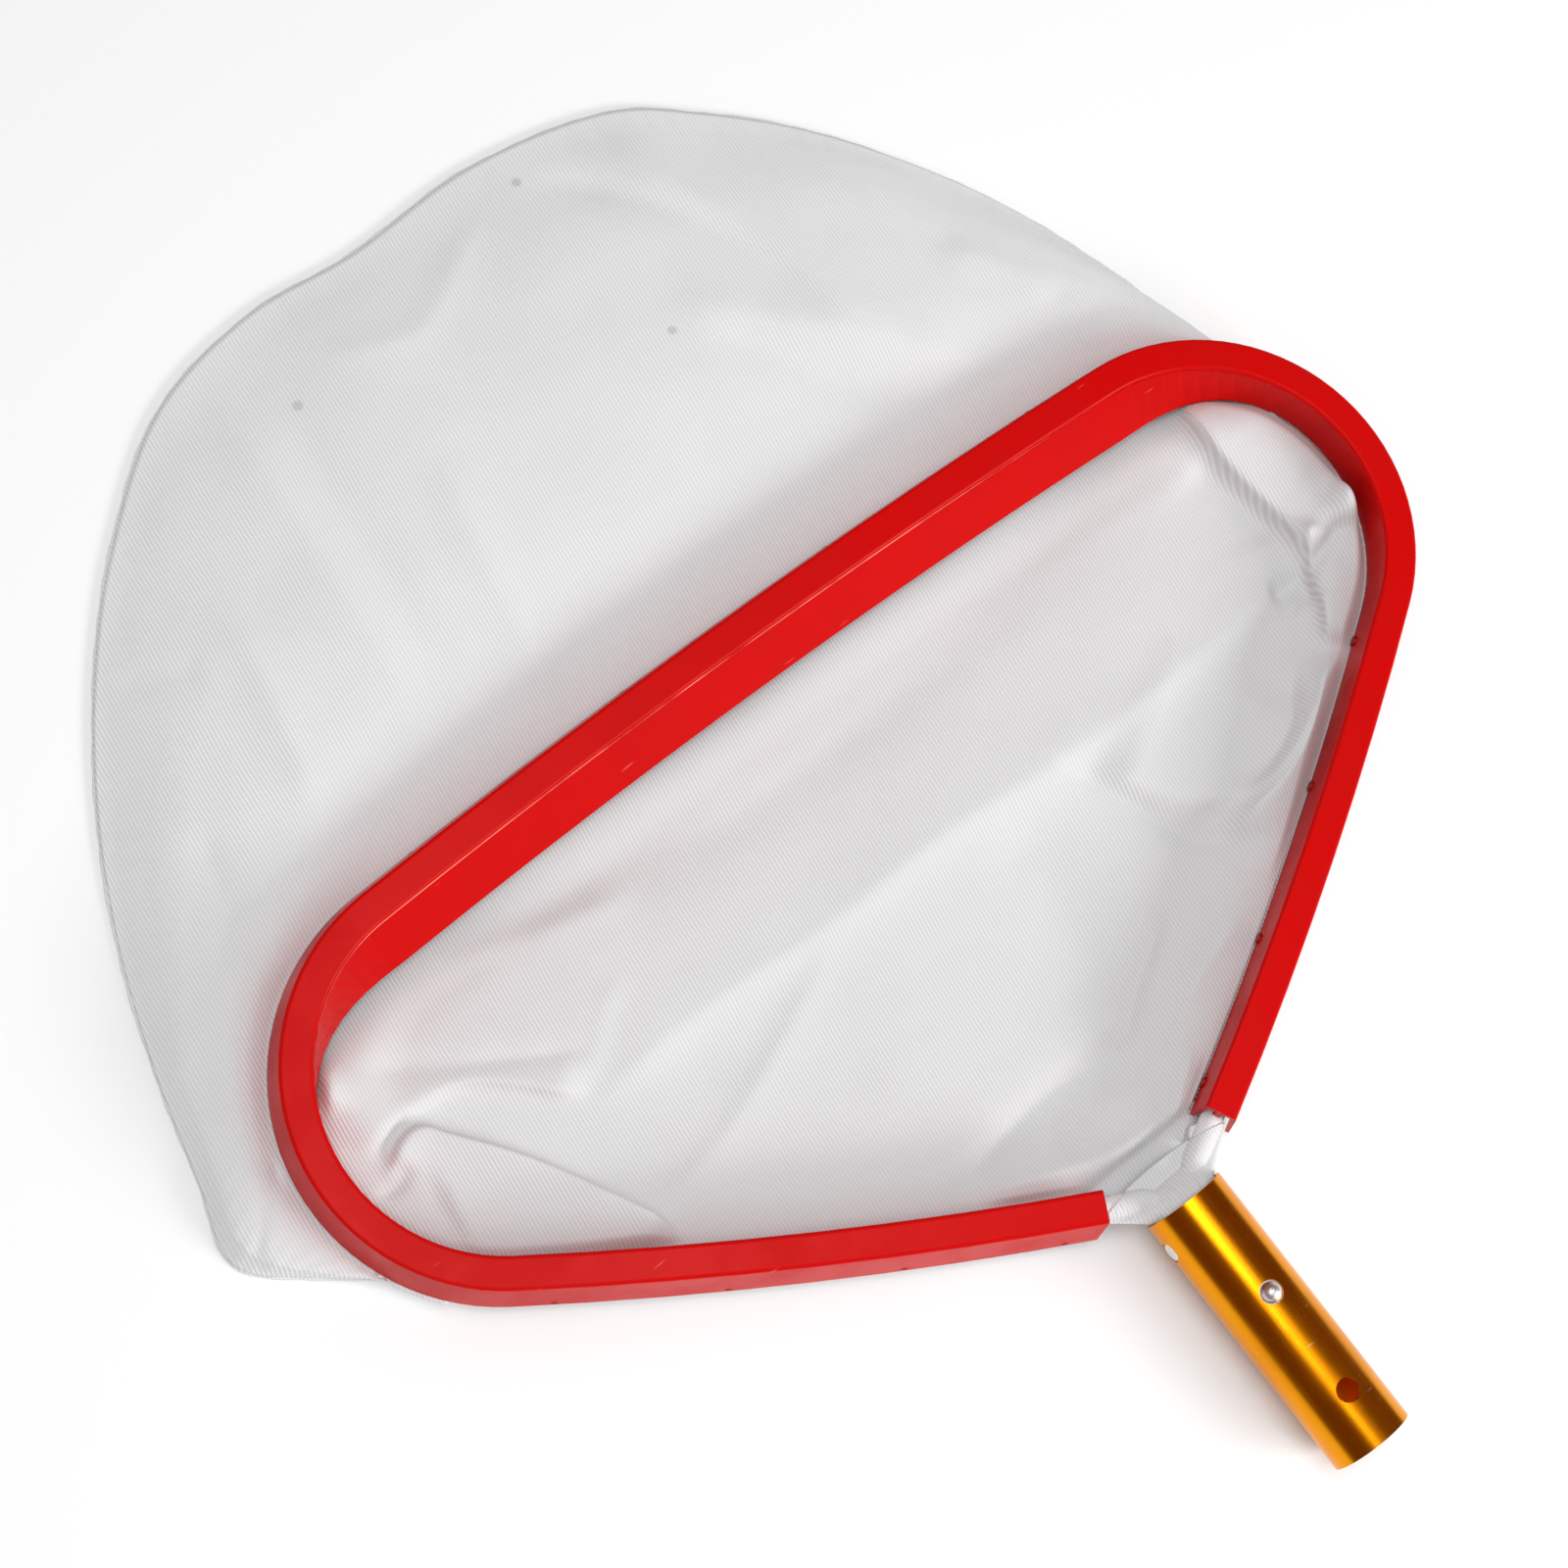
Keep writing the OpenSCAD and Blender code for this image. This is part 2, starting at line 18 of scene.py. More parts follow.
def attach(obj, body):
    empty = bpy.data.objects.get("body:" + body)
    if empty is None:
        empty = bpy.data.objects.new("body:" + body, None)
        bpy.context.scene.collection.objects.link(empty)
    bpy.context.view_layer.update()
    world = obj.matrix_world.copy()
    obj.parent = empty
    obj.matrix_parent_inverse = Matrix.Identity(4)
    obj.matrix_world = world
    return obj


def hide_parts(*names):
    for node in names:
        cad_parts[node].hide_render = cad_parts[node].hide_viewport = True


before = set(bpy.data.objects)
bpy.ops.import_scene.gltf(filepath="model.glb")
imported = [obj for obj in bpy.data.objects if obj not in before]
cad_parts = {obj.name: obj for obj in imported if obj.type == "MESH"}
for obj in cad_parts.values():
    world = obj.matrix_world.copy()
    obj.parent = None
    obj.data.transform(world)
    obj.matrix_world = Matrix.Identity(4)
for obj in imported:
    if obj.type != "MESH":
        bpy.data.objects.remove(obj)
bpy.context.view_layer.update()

LOG = logging.getLogger("skimmer")
MM = 0.001
BODY = "net_frame"
WAVES = 9
CURVE_PARTS = 8
NodeInput = float | tuple | bpy.types.NodeSocket


class Slot(Enum):
    """Material slots of the record."""

    GOLD = "gold_anodised"
    STEEL = "bare_steel"
    ALUMINIUM = "bare_aluminium"
    RED = "rim_red"
    PLUG = "plug_plastic"
    MESH = "mesh_cloth"
    HEM = "hem_cloth"


# ---------------------------------------------------------------- small tools


def smooth(t: np.ndarray) -> np.ndarray:
    """Eases t from 0 to 1, flat at both ends."""
    c = np.clip(t, 0.0, 1.0)
    return c * c * (3 - 2 * c)


def on_circle(centre: tuple, radius: np.ndarray, degrees: np.ndarray) -> np.ndarray:
    """Points on a circle.

    Args:
        centre: Centre of the circle, x and y.
        radius: Radius, one number or one for each angle.
        degrees: Angles from +X, anticlockwise.

    Returns:
        Array of points, with x and y in the last axis.
    """
    a = np.radians(degrees)
    return np.stack([centre[0] + radius * np.cos(a), centre[1] + radius * np.sin(a)], -1)


def ripple(x: np.ndarray, y: np.ndarray, size: float, seed: int) -> np.ndarray:
    """Soft waves without direction, about -1 to 1.

    Args:
        x: Places along X in millimetres.
        y: Places along Y in millimetres.
        size: Typical length of a wave.
        seed: Picks the pattern.

    Returns:
        Height of the waves at each place.
    """
    rng = np.random.default_rng(seed)
    total = np.zeros(np.broadcast(x, y).shape)
    for _ in range(WAVES):
        turn, phase = rng.uniform(0, 2 * np.pi, 2)
        wave = 2 * np.pi / (size * rng.uniform(0.7, 1.5))
        total += np.sin(wave * (x * np.cos(turn) + y * np.sin(turn)) + phase)
    return total / (WAVES / 2)


def curve_point(a: np.ndarray, b: np.ndarray, c: np.ndarray, d: np.ndarray,
                f: float | np.ndarray) -> np.ndarray:
    """Point on a smooth curve through four points.

    Args:
        a: Point before the stretch.
        b: Start of the stretch.
        c: End of the stretch.
        d: Point after the stretch.
        f: Share of the way from b to c.

    Returns:
        The point, or one point for each share.
    """
    return 0.5 * (2 * b + (c - a) * f + (2 * a - 5 * b + 4 * c - d) * f**2
                  + (3 * b - a - 3 * c + d) * f**3)


def run_of(line: np.ndarray) -> np.ndarray:
    """Distance of each point of a flat line from its start, along the line."""
    return np.r_[0, np.cumsum(np.hypot(*np.diff(line, axis=0).T))]


def points_at(line: np.ndarray, run: np.ndarray, places: np.ndarray) -> np.ndarray:
    """Points of a flat line at given distances from its start, where run_of gave its run."""
    return np.stack([np.interp(places, run, line[:, i]) for i in (0, 1)], -1)


def turn_angles(count: int) -> np.ndarray:
    """Angles of a full turn in even steps, without the last one, which is the first again."""
    return np.linspace(0, 2 * np.pi, count + 1)[:-1]


def rings(angles: np.ndarray, radius: np.ndarray) -> np.ndarray:
    """Round sections for a sweep.

    Args:
        angles: Angles of a ring's points.
        radius: Array (n, 1) or (n, k) with the radius of each ring or point.

    Returns:
        Array (n, k, 2) of sideways and upward distances.
    """
    return np.stack([np.cos(angles)[None] * radius, np.sin(angles)[None] * radius], -1)


@dataclass(frozen=True)
class Fold:
    """A ridge or crease that runs along a line of points on a cloth.

    Attributes:
        line: Points the crest passes, in millimetres.
        rise: Height of the crest, below zero for a crease.
        left: Reach to the left of the line, going along it.
        right: Reach to the right of the line.
        power: 1 for a sharp crest, 2 for a soft one.
        ends: Share of the line over which the crest fades at each end.
        lean: How far the crest falls over to the left, below zero to the right.
    """

    line: tuple
    rise: float
    left: float
    right: float
    power: float = 1.5
    ends: float = 0.25
    lean: float = 0.0

    def move(self, x: np.ndarray, y: np.ndarray) -> np.ndarray:
        """Moves of the cloth at each place.

        Args:
            x: Places along X in millimetres.
            y: Places along Y in millimetres.

        Returns:
            Moves along X, Y and Z, in the last axis.
        """
        pts = np.array(self.line, float)
        fine = [pts[0]]
        for i in range(len(pts) - 1):
            four = (pts[max(i - 1, 0)], pts[i], pts[i + 1], pts[min(i + 2, len(pts) - 1)])
            fine += [curve_point(*four, f) for f in np.linspace(0, 1, CURVE_PARTS + 1)[1:]]
        pts = np.array(fine)
        seg = np.diff(pts, axis=0)
        size = np.hypot(seg[:, 0], seg[:, 1]) + 1e-9
        start = np.r_[0, np.cumsum(size)]
        best = np.full(x.shape, 1e9)
        side, along = np.zeros(x.shape), np.zeros(x.shape)
        fall_x, fall_y = np.zeros(x.shape), np.zeros(x.shape)
        for p, s, n, s0 in zip(pts[:-1], seg, size, start[:-1]):
            f = np.clip(((x - p[0]) * s[0] + (y - p[1]) * s[1]) / n**2, 0, 1)
            dx, dy = x - p[0] - f * s[0], y - p[1] - f * s[1]
            dist = np.hypot(dx, dy)
            near = dist < best
            best = np.where(near, dist, best)
            side = np.where(near, s[0] * dy - s[1] * dx, side)
            along = np.where(near, (s0 + f * n) / start[-1], along)
            fall_x, fall_y = np.where(near, -s[1] / n, fall_x), np.where(near, s[0] / n, fall_y)
        reach = np.where(side > 0, self.left, self.right)
        fade = smooth(along / self.ends) * smooth((1 - along) / self.ends)
        crest = fade * np.exp(-((best / reach) ** self.power))
        fall = self.lean * crest**1.5
        return np.stack([fall * fall_x, fall * fall_y, self.rise * crest], -1)


def grid_object(name: str, points: np.ndarray, close_columns: bool = False,
                caps: bool = False) -> bpy.types.Object:
    """Makes a smooth quad mesh from rows of points.

    Args:
        name: Name of the piece.
        points: Array (rows, columns, 3) in millimetres.
        close_columns: Joins the last column to the first.
        caps: Closes the open ends of a tube.

    Returns:
        The new object, linked to the scene.
    """
    m, n = points.shape[:2]
    idx = np.arange(m * n).reshape(m, n)
    if close_columns:
        idx = np.hstack([idx, idx[:, :1]])
    quads = np.stack([idx[:-1, :-1], idx[1:, :-1], idx[1:, 1:], idx[:-1, 1:]], -1).reshape(-1, 4)
    faces = quads.tolist()
    if caps:
        faces += [list(range(n)), list(range(m * n - 1, (m - 1) * n - 1, -1))]
    return mesh_object(name, points.reshape(-1, 3), faces)


def mesh_object(name: str, points: np.ndarray, faces: list) -> bpy.types.Object:
    """Makes a smooth object.

    Args:
        name: Name of the piece.
        points: Array (n, 3) in millimetres.
        faces: Lists of point numbers, one list for each face.

    Returns:
        The new object, linked to the scene.
    """
    mesh = bpy.data.meshes.new(name)
    mesh.from_pydata((points * MM).tolist(), [], faces)
    mesh.validate()
    mesh.polygons.foreach_set("use_smooth", [True] * len(mesh.polygons))
    mesh.update()
    obj = bpy.data.objects.new(name, mesh)
    bpy.context.scene.collection.objects.link(obj)
    return obj


def thicken(obj: bpy.types.Object, thickness: float, offset: float = 0.0) -> None:
    """Gives a single sheet its thickness.

    Args:
        obj: The sheet.
        thickness: Thickness in millimetres.
        offset: Where the sheet lies in its thickness, from -1 to 1.
    """
    mod = obj.modifiers.new("thickness", "SOLIDIFY")
    mod.thickness = thickness * MM
    mod.offset = offset
    mod.use_even_offset = False


def dress(obj: bpy.types.Object, material: bpy.types.Material) -> None:
    """Puts one material on every slot of an object.

    Args:
        obj: The object.
        material: The material.
    """
    if not obj.material_slots:
        obj.data.materials.append(material)
    for slot in obj.material_slots:
        slot.material = material


def settle(obj: bpy.types.Object, material: bpy.types.Material) -> None:
    """Dresses a new piece, and has it ride on the frame's body.

    Args:
        obj: The piece.
        material: Its material.
    """
    dress(obj, material)
    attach(obj, BODY)
    LOG.info("%s: %d points", obj.name, len(obj.data.vertices))


def sweep(path: np.ndarray, out: np.ndarray, sections: np.ndarray) -> np.ndarray:
    """Rows of points of a tube along a flat path.

    Args:
        path: Array (n, 3) of centres.
        out: Array (n, 2) of sideways directions in the XY plane.
        sections: Array (n, k, 2) or (k, 2) of sideways and upward distances.

    Returns:
        Array (n, k, 3) of points.
    """
    if sections.ndim == 2:
        sections = np.broadcast_to(sections, (len(path),) + sections.shape)
    pts = np.repeat(path[:, None, :], sections.shape[1], 1).astype(float)
    pts[..., :2] += out[:, None, :] * sections[..., :1]
    pts[..., 2] += sections[..., 1]
    return pts


def normals_of(path: np.ndarray) -> np.ndarray:
    """Sideways directions of a flat path.

    Args:
        path: Array of points, with x and y first.

    Returns:
        Array (n, 2) of directions to the left of the path.
    """
    step = np.gradient(path[:, :2], axis=0)
    step /= np.linalg.norm(step, axis=1, keepdims=True) + 1e-12
    return np.stack([-step[:, 1], step[:, 0]], -1)


# ---------------------------------------------------------------- sizes of the net


@dataclass(frozen=True)
class NetShape:
    """Centre line of the rod and edge of the bag, with the sizes of the CAD part in millimetres.

    Attributes:
        corner: Centre of the loop's right corner.
        corner_r: Radius of the rod in the corners.
        front: Centre of the front's bow.
        front_r: Radius of the front's bow.
        side: Centre of the right side's bow.
        side_r: Radius of the sides' bows.
        neck: Centre of the right bend at the neck.
        neck_r: Radius of the bends at the neck.
        front_a: Half the angle of the front's bow, in degrees.
        side_a0: Angle on the side's bow where the neck's bend starts.
        side_a1: Angle on the side's bow where the corner starts.
        strip_a0: Angle on the side's bow where the strip ends.
        neck_a0: Angle on the neck's bend where the side ends.
        rod_x: Distance of a rod end from the middle.
        rod_end_y: Where the line of the rod ends in the socket.
        left_a: Angle on the left corner where the bag's edge leaves the rod.
        right_a: Angle on the right corner where the bag's edge leaves the rod.
        floor_z: Height of the floor.
        half_loop: Half the width of the rod's loop.
        bag_reach: How far the bag reaches past the corners' centres.
        edge: Points of the bag's edge, x in half loops and y in reaches.
    """

    corner: tuple = (155.0, 270.90)
    corner_r: float = 67.0
    front: tuple = (0.0, -2658.0)
    front_r: float = 3000.0
    side: tuple = (-661.88, 1448.27)
    side_r: float = 1500.0
    neck: tuple = (18.5, 98.0)
    neck_r: float = 12.0
    front_a: float = 3.0293
    side_a0: float = -63.257
    side_a1: float = -55.246
    strip_a0: float = -62.722
    neck_a0: float = 116.743
    rod_x: float = 6.5
    rod_end_y: float = 97.4
    left_a: float = 222.0
    right_a: float = 18.0
    floor_z: float = -17.5
    half_loop: float = 222.0
    bag_reach: float = 265.10
    edge: tuple = ((-1.085, -0.064), (-1.171, 0.01), (-1.142, 0.113), (-1.091, 0.272),
                   (-1.024, 0.423), (-0.937, 0.566), (-0.825, 0.704), (-0.688, 0.83),
                   (-0.502, 0.95), (-0.297, 0.994), (-0.098, 0.987), (0.139, 0.999),
                   (0.371, 0.963), (0.508, 0.887), (0.658, 0.762), (0.803, 0.58), (0.896, 0.394),
                   (0.941, 0.243))

    def half_rod(self, off: float = 0.0, neck: bool = False) -> np.ndarray:
        """Right half of the rod's line, from the middle of the front.

        Args:
            off: How far the line is moved outward.
            neck: Goes on to the socket, or else stops at the strip's end.

        Returns:
            Array (n, 2) of points.
        """
        stop = self.side_a0 if neck else self.strip_a0
        parts = [on_circle(self.front, self.front_r + off, np.linspace(90, 90 - self.front_a, 70)),
                 on_circle(self.corner, self.corner_r + off,
                           np.linspace(90 - self.front_a, self.side_a1, 90)[1:]),
                 on_circle(self.side, self.side_r + off, np.linspace(self.side_a1, stop, 100)[1:])]
        if neck:
            bend = np.linspace(self.neck_a0, 180, 30)[1:]
            parts.append(on_circle(self.neck, self.neck_r - off, bend))
            parts.append(np.array([[self.rod_x + off, self.rod_end_y]]))
        return np.vstack(parts)

    def rod(self, off: float = 0.0, neck: bool = False) -> np.ndarray:
        """Whole line of the rod from left to right, with off and neck as in half_rod."""
        right = self.half_rod(off, neck)
        return np.vstack([right[::-1][:-1] * [-1, 1], right])

    def loop_at(self, t: np.ndarray, off: float = 0.0) -> np.ndarray:
        """Points on the front of the loop.

        Args:
            t: Places from 0, at the bag's left start, to 1, at its right.
            off: How far the points are moved outward.

        Returns:
            Points, with x and y in the last axis.
        """
        left_turn = self.left_a - 90 - self.front_a
        right_turn = 90 - self.front_a - self.right_a
        sizes = np.array([self.corner_r * math.radians(left_turn),
                          2 * self.front_r * math.radians(self.front_a),
                          self.corner_r * math.radians(right_turn)])
        s = np.asarray(t, float) * sizes.sum()
        a = on_circle((-self.corner[0], self.corner[1]), self.corner_r + off,
                      self.left_a - left_turn * s / sizes[0])
        b = on_circle(self.front, self.front_r + off,
                      90 + self.front_a - 2 * self.front_a * (s - sizes[0]) / sizes[1])
        c = on_circle(self.corner, self.corner_r + off,
                      90 - self.front_a - right_turn * (s - sizes[0] - sizes[1]) / sizes[2])
        first, second = (s < sizes[0])[..., None], (s < sizes[0] + sizes[1])[..., None]
        return np.where(first, a, np.where(second, b, c))

    def bag_edge(self, t: np.ndarray) -> np.ndarray:
        """Points on the edge of the bag.

        Args:
            t: Places from 0, at its left start, to 1, at its right.

        Returns:
            Points, with x and y in the last axis.
        """
        edge = [(x * self.half_loop, self.corner[1] + y * self.bag_reach) for x, y in self.edge]
        pts = np.vstack([self.loop_at(np.array([0.0])), edge, self.loop_at(np.array([1.0]))])
        n = len(pts) - 1
        s = np.minimum(np.asarray(t, float), 0.99999) * n
        i = np.floor(s).astype(int)
        return curve_point(pts[np.maximum(i - 1, 0)], pts[i], pts[i + 1],
                           pts[np.minimum(i + 2, n)], (s - i)[..., None])

    def inside(self, x: np.ndarray, y: np.ndarray) -> np.ndarray:
        """Distance inward from the rod's line.

        Args:
            x: Places along X in millimetres.
            y: Places along Y in millimetres.

        Returns:
            Distance at each place, below zero outside the loop.
        """
        line = self.rod()
        line = np.vstack([line[::4], line[-1:]])
        best = np.full(x.shape, 1e9)
        sign = np.zeros(x.shape)
        closed = np.vstack([line, line[:1]])
        for p, q in zip(closed[:-1], closed[1:]):
            s = q - p
            f = np.clip(((x - p[0]) * s[0] + (y - p[1]) * s[1]) / (s @ s), 0, 1)
            dx, dy = x - p[0] - f * s[0], y - p[1] - f * s[1]
            dist = np.hypot(dx, dy)
            near = dist < best
            best = np.where(near, dist, best)
            sign = np.where(near, -np.sign(s[0] * dy - s[1] * dx), sign)
        return best * sign


SHAPE = NetShape()


# ---------------------------------------------------------------- finishes


class NodeSheet:
    """Short names for adding and joining the nodes of one tree."""

    def __init__(self, tree: bpy.types.NodeTree) -> None:
        """Keeps the tree whose nodes are added."""
        self.tree = tree

    def add(self, kind: str, inputs: dict | None = None, **settings: object) -> bpy.types.Node:
        """Adds a node.

        Args:
            kind: The node's type, without the ShaderNode prefix.
            inputs: Values or output sockets for its inputs, by name or number.
            **settings: Properties of the node.

        Returns:
            The new node.
        """
        node = self.tree.nodes.new(kind if kind.startswith("Node") else "ShaderNode" + kind)
        for key, value in settings.items():
            setattr(node, key, value)
        for key, value in (inputs or {}).items():
            if isinstance(value, bpy.types.NodeSocket):
                self.tree.links.new(value, node.inputs[key])
            else:
                node.inputs[key].default_value = value
        return node

    def math(self, operation: str, a: NodeInput, b: NodeInput = 0.0,
             c: NodeInput = 0.0) -> bpy.types.NodeSocket:
        """Adds a Math node.

        Args:
            operation: The node's operation.
            a: First value or socket.
            b: Second value or socket.
            c: Third value or socket.

        Returns:
            The node's output.
        """
        return self.add("Math", {0: a, 1: b, 2: c}, operation=operation).outputs[0]

    def mix(self, share: NodeInput, a: NodeInput, b: NodeInput) -> bpy.types.NodeSocket:
        """Mixes two colours.

        Args:
            share: How much of the second colour, from 0 to 1.
            a: First colour or socket.
            b: Second colour or socket.

        Returns:
            The mixed colour's socket.
        """
        node = self.add("Mix", data_type="RGBA")
        for index, value in ((0, share), (6, a), (7, b)):
            if isinstance(value, bpy.types.NodeSocket):
                self.tree.links.new(value, node.inputs[index])
            else:
                node.inputs[index].default_value = value
        return node.outputs[2]

    def ramp(self, value: NodeInput, low: float, high: float, out_low: float = 0.0,
             out_high: float = 1.0) -> bpy.types.NodeSocket:
        """Maps a value from one range to another, with soft ends.

        Args:
            value: The socket to map.
            low: Value that gives out_low.
            high: Value that gives out_high.
            out_low: Result at low.
            out_high: Result at high.

        Returns:
            The mapped value's socket.
        """
        return self.add("MapRange", {0: value, 1: low, 2: high, 3: out_low, 4: out_high},
                        interpolation_type="SMOOTHSTEP").outputs[0]

    def join(self, output: bpy.types.NodeSocket, socket: bpy.types.NodeSocket) -> None:
        """Joins an output to an input."""
        self.tree.links.new(output, socket)


def new_group(name: str, inputs: list, outputs: list) -> tuple:
    """Starts a shader node group.

    Args:
        name: Name of the group.
        inputs: Tuples of name, socket type and value.
        outputs: Tuples of name and socket type.

    Returns:
        The group, its NodeSheet, its input node and its output node.
    """
    group = bpy.data.node_groups.new(name, "ShaderNodeTree")
    for label, kind, value in inputs:
        socket = group.interface.new_socket(name=label, in_out="INPUT", socket_type=kind)
        socket.default_value = value
    for label, kind in outputs:
        group.interface.new_socket(name=label, in_out="OUTPUT", socket_type=kind)
    sheet = NodeSheet(group)
    return group, sheet, sheet.add("NodeGroupInput"), sheet.add("NodeGroupOutput")


FLOAT, COLOUR = "NodeSocketFloat", "NodeSocketColor"


class Effects:
    """Shader node groups that several finishes share, each built once."""

    def __init__(self) -> None:
        """Builds the groups."""
        self.twill = self._twill()
        self.scuffs = self._scuffs()
        self.speckle = self._speckle()

    @staticmethod
    def _place(sheet: NodeSheet, scale: tuple) -> bpy.types.NodeSocket:
        """Object coordinates stretched by three factors."""
        coord = sheet.add("TexCoord").outputs["Object"]
        return sheet.add("Mapping", {0: coord, 3: scale}).outputs[0]

    def _twill(self) -> bpy.types.NodeTree:
        """Ribs of a fine twill: a height, a mask of the ribs and soft patches of denser yarn."""
        group, s, enter, leave = new_group(
            "twill_weave", [("Pitch mm", FLOAT, 1.3), ("Waver", FLOAT, 1.0)],
            [("Height", FLOAT), ("Rib", FLOAT), ("Patch", FLOAT)])
        coord = s.add("TexCoord").outputs["Object"]
        xyz = s.add("SeparateXYZ", {0: coord})
        wander = s.add("TexNoise", {"Vector": coord, "Scale": 9.0, "Detail": 2.0}).outputs[0]
        fine = s.add("TexNoise", {"Vector": coord, "Scale": 900.0, "Detail": 1.0}).outputs[0]
        lean = s.math("MULTIPLY_ADD", xyz.outputs[1], -0.13, xyz.outputs[0])
        lean = s.math("MULTIPLY_ADD", s.math("MULTIPLY", wander, enter.outputs[1]), 0.006, lean)
        turns = s.math("DIVIDE", s.math("MULTIPLY", lean, 2000 * math.pi), enter.outputs[0])
        rib = s.math("MULTIPLY_ADD", s.math("SINE", turns), 0.5, 0.5)
        cross = s.math("MULTIPLY_ADD", xyz.outputs[0], 0.6, xyz.outputs[1])
        cross = s.math("DIVIDE", s.math("MULTIPLY", cross, 5200 * math.pi), enter.outputs[0])
        knot = s.math("MULTIPLY_ADD", s.math("SINE", cross), 0.5, 0.5)
        height = s.math("MULTIPLY_ADD", knot, 0.2, s.math("MULTIPLY_ADD", fine, 0.06, rib))
        patch = s.add("TexNoise", {"Vector": coord, "Scale": 26.0, "Detail": 3.0}).outputs[0]
        for index, value in enumerate((height, rib, s.ramp(patch, 0.35, 0.68))):
            s.join(value, leave.inputs[index])
        return group

    def _scuffs(self) -> bpy.types.NodeTree:
        """Fine drawn lines along Y, short bright scratches and a smudge mask."""
        group, s, enter, leave = new_group(
            "scuffs", [("Fineness", FLOAT, 1.0), ("Amount", FLOAT, 0.5)],
            [("Lines", FLOAT), ("Scratch", FLOAT), ("Smudge", FLOAT)])
        lines = s.add("TexNoise", {"Vector": self._place(s, (900.0, 14.0, 900.0)),
                                   "Scale": enter.outputs[0], "Detail": 3.0}).outputs[0]
        turned = s.add("Mapping", {0: s.add("TexCoord").outputs["Object"], 2: (0.2, 0.3, 0.9),
                                   3: (60.0, 700.0, 260.0)}).outputs[0]
        spots = s.add("TexNoise", {"Vector": turned, "Scale": 1.0, "Detail": 1.0}).outputs[0]
        low = s.math("MULTIPLY_ADD", enter.outputs[1], -0.16, 0.82)
        scratch = s.add("MapRange", {0: spots, 1: low, 2: s.math("ADD", low, 0.04)}).outputs[0]
        smudge = s.add("TexNoise", {"Vector": self._place(s, (1, 1, 1)), "Scale": 30.0,
                                    "Detail": 4.0, "Roughness": 0.6}).outputs[0]
        for index, value in enumerate((lines, scratch, s.ramp(smudge, 0.4, 0.7))):
            s.join(value, leave.inputs[index])
        return group

    def _speckle(self) -> bpy.types.NodeTree:
        """Fine pitted skin of a moulded or cast piece: a height and dust in its pits."""
        group, s, enter, leave = new_group("moulded_skin", [("Grain", FLOAT, 1.0)],
                                           [("Height", FLOAT), ("Dust", FLOAT)])
        coord = self._place(s, (1, 1, 1))
        grain = s.math("MULTIPLY", enter.outputs[0], 1400.0)
        fine = s.add("TexNoise", {"Vector": coord, "Scale": grain, "Detail": 2.0}).outputs[0]
        broad = s.add("TexNoise", {"Vector": coord, "Scale": 55.0, "Detail": 3.0}).outputs[0]
        s.join(s.math("MULTIPLY_ADD", broad, 0.8, fine), leave.inputs[0])
        s.join(s.ramp(fine, 0.62, 0.78), leave.inputs[1])
        return group


EFFECTS = Effects()


@dataclass(frozen=True)
class Finish:
    """Base of every finish: a Principled shader whose steady values are set on its own sockets.

    Attributes:
        name: Name of the material.
    """

    name: str

    def start(self, **steady: float) -> tuple:
        """Makes the material.

        Args:
            **steady: Values of the shader's sockets, with _ for a space.

        Returns:
            The material, its NodeSheet and its shader node.
        """
        mat = bpy.data.materials.new(self.name)
        mat.use_nodes = True
        sheet = NodeSheet(mat.node_tree)
        shader = mat.node_tree.nodes["Principled BSDF"]
        for key, value in steady.items():
            shader.inputs[key.replace("_", " ")].default_value = value
        return mat, sheet, shader

    def bump(self, sheet: NodeSheet, shader: bpy.types.Node, height: bpy.types.NodeSocket,
             strength: float, distance: float) -> None:
        """Joins a height to the shader's normal.

        Args:
            sheet: The material's nodes.
            shader: The material's shader.
            height: The height's socket.
            strength: Strength of the bump.
            distance: Depth of the bump in millimetres.
        """
        node = sheet.add("Bump", {"Strength": strength, "Distance": distance * MM,
                                  "Height": height})
        sheet.join(node.outputs[0], shader.inputs["Normal"])


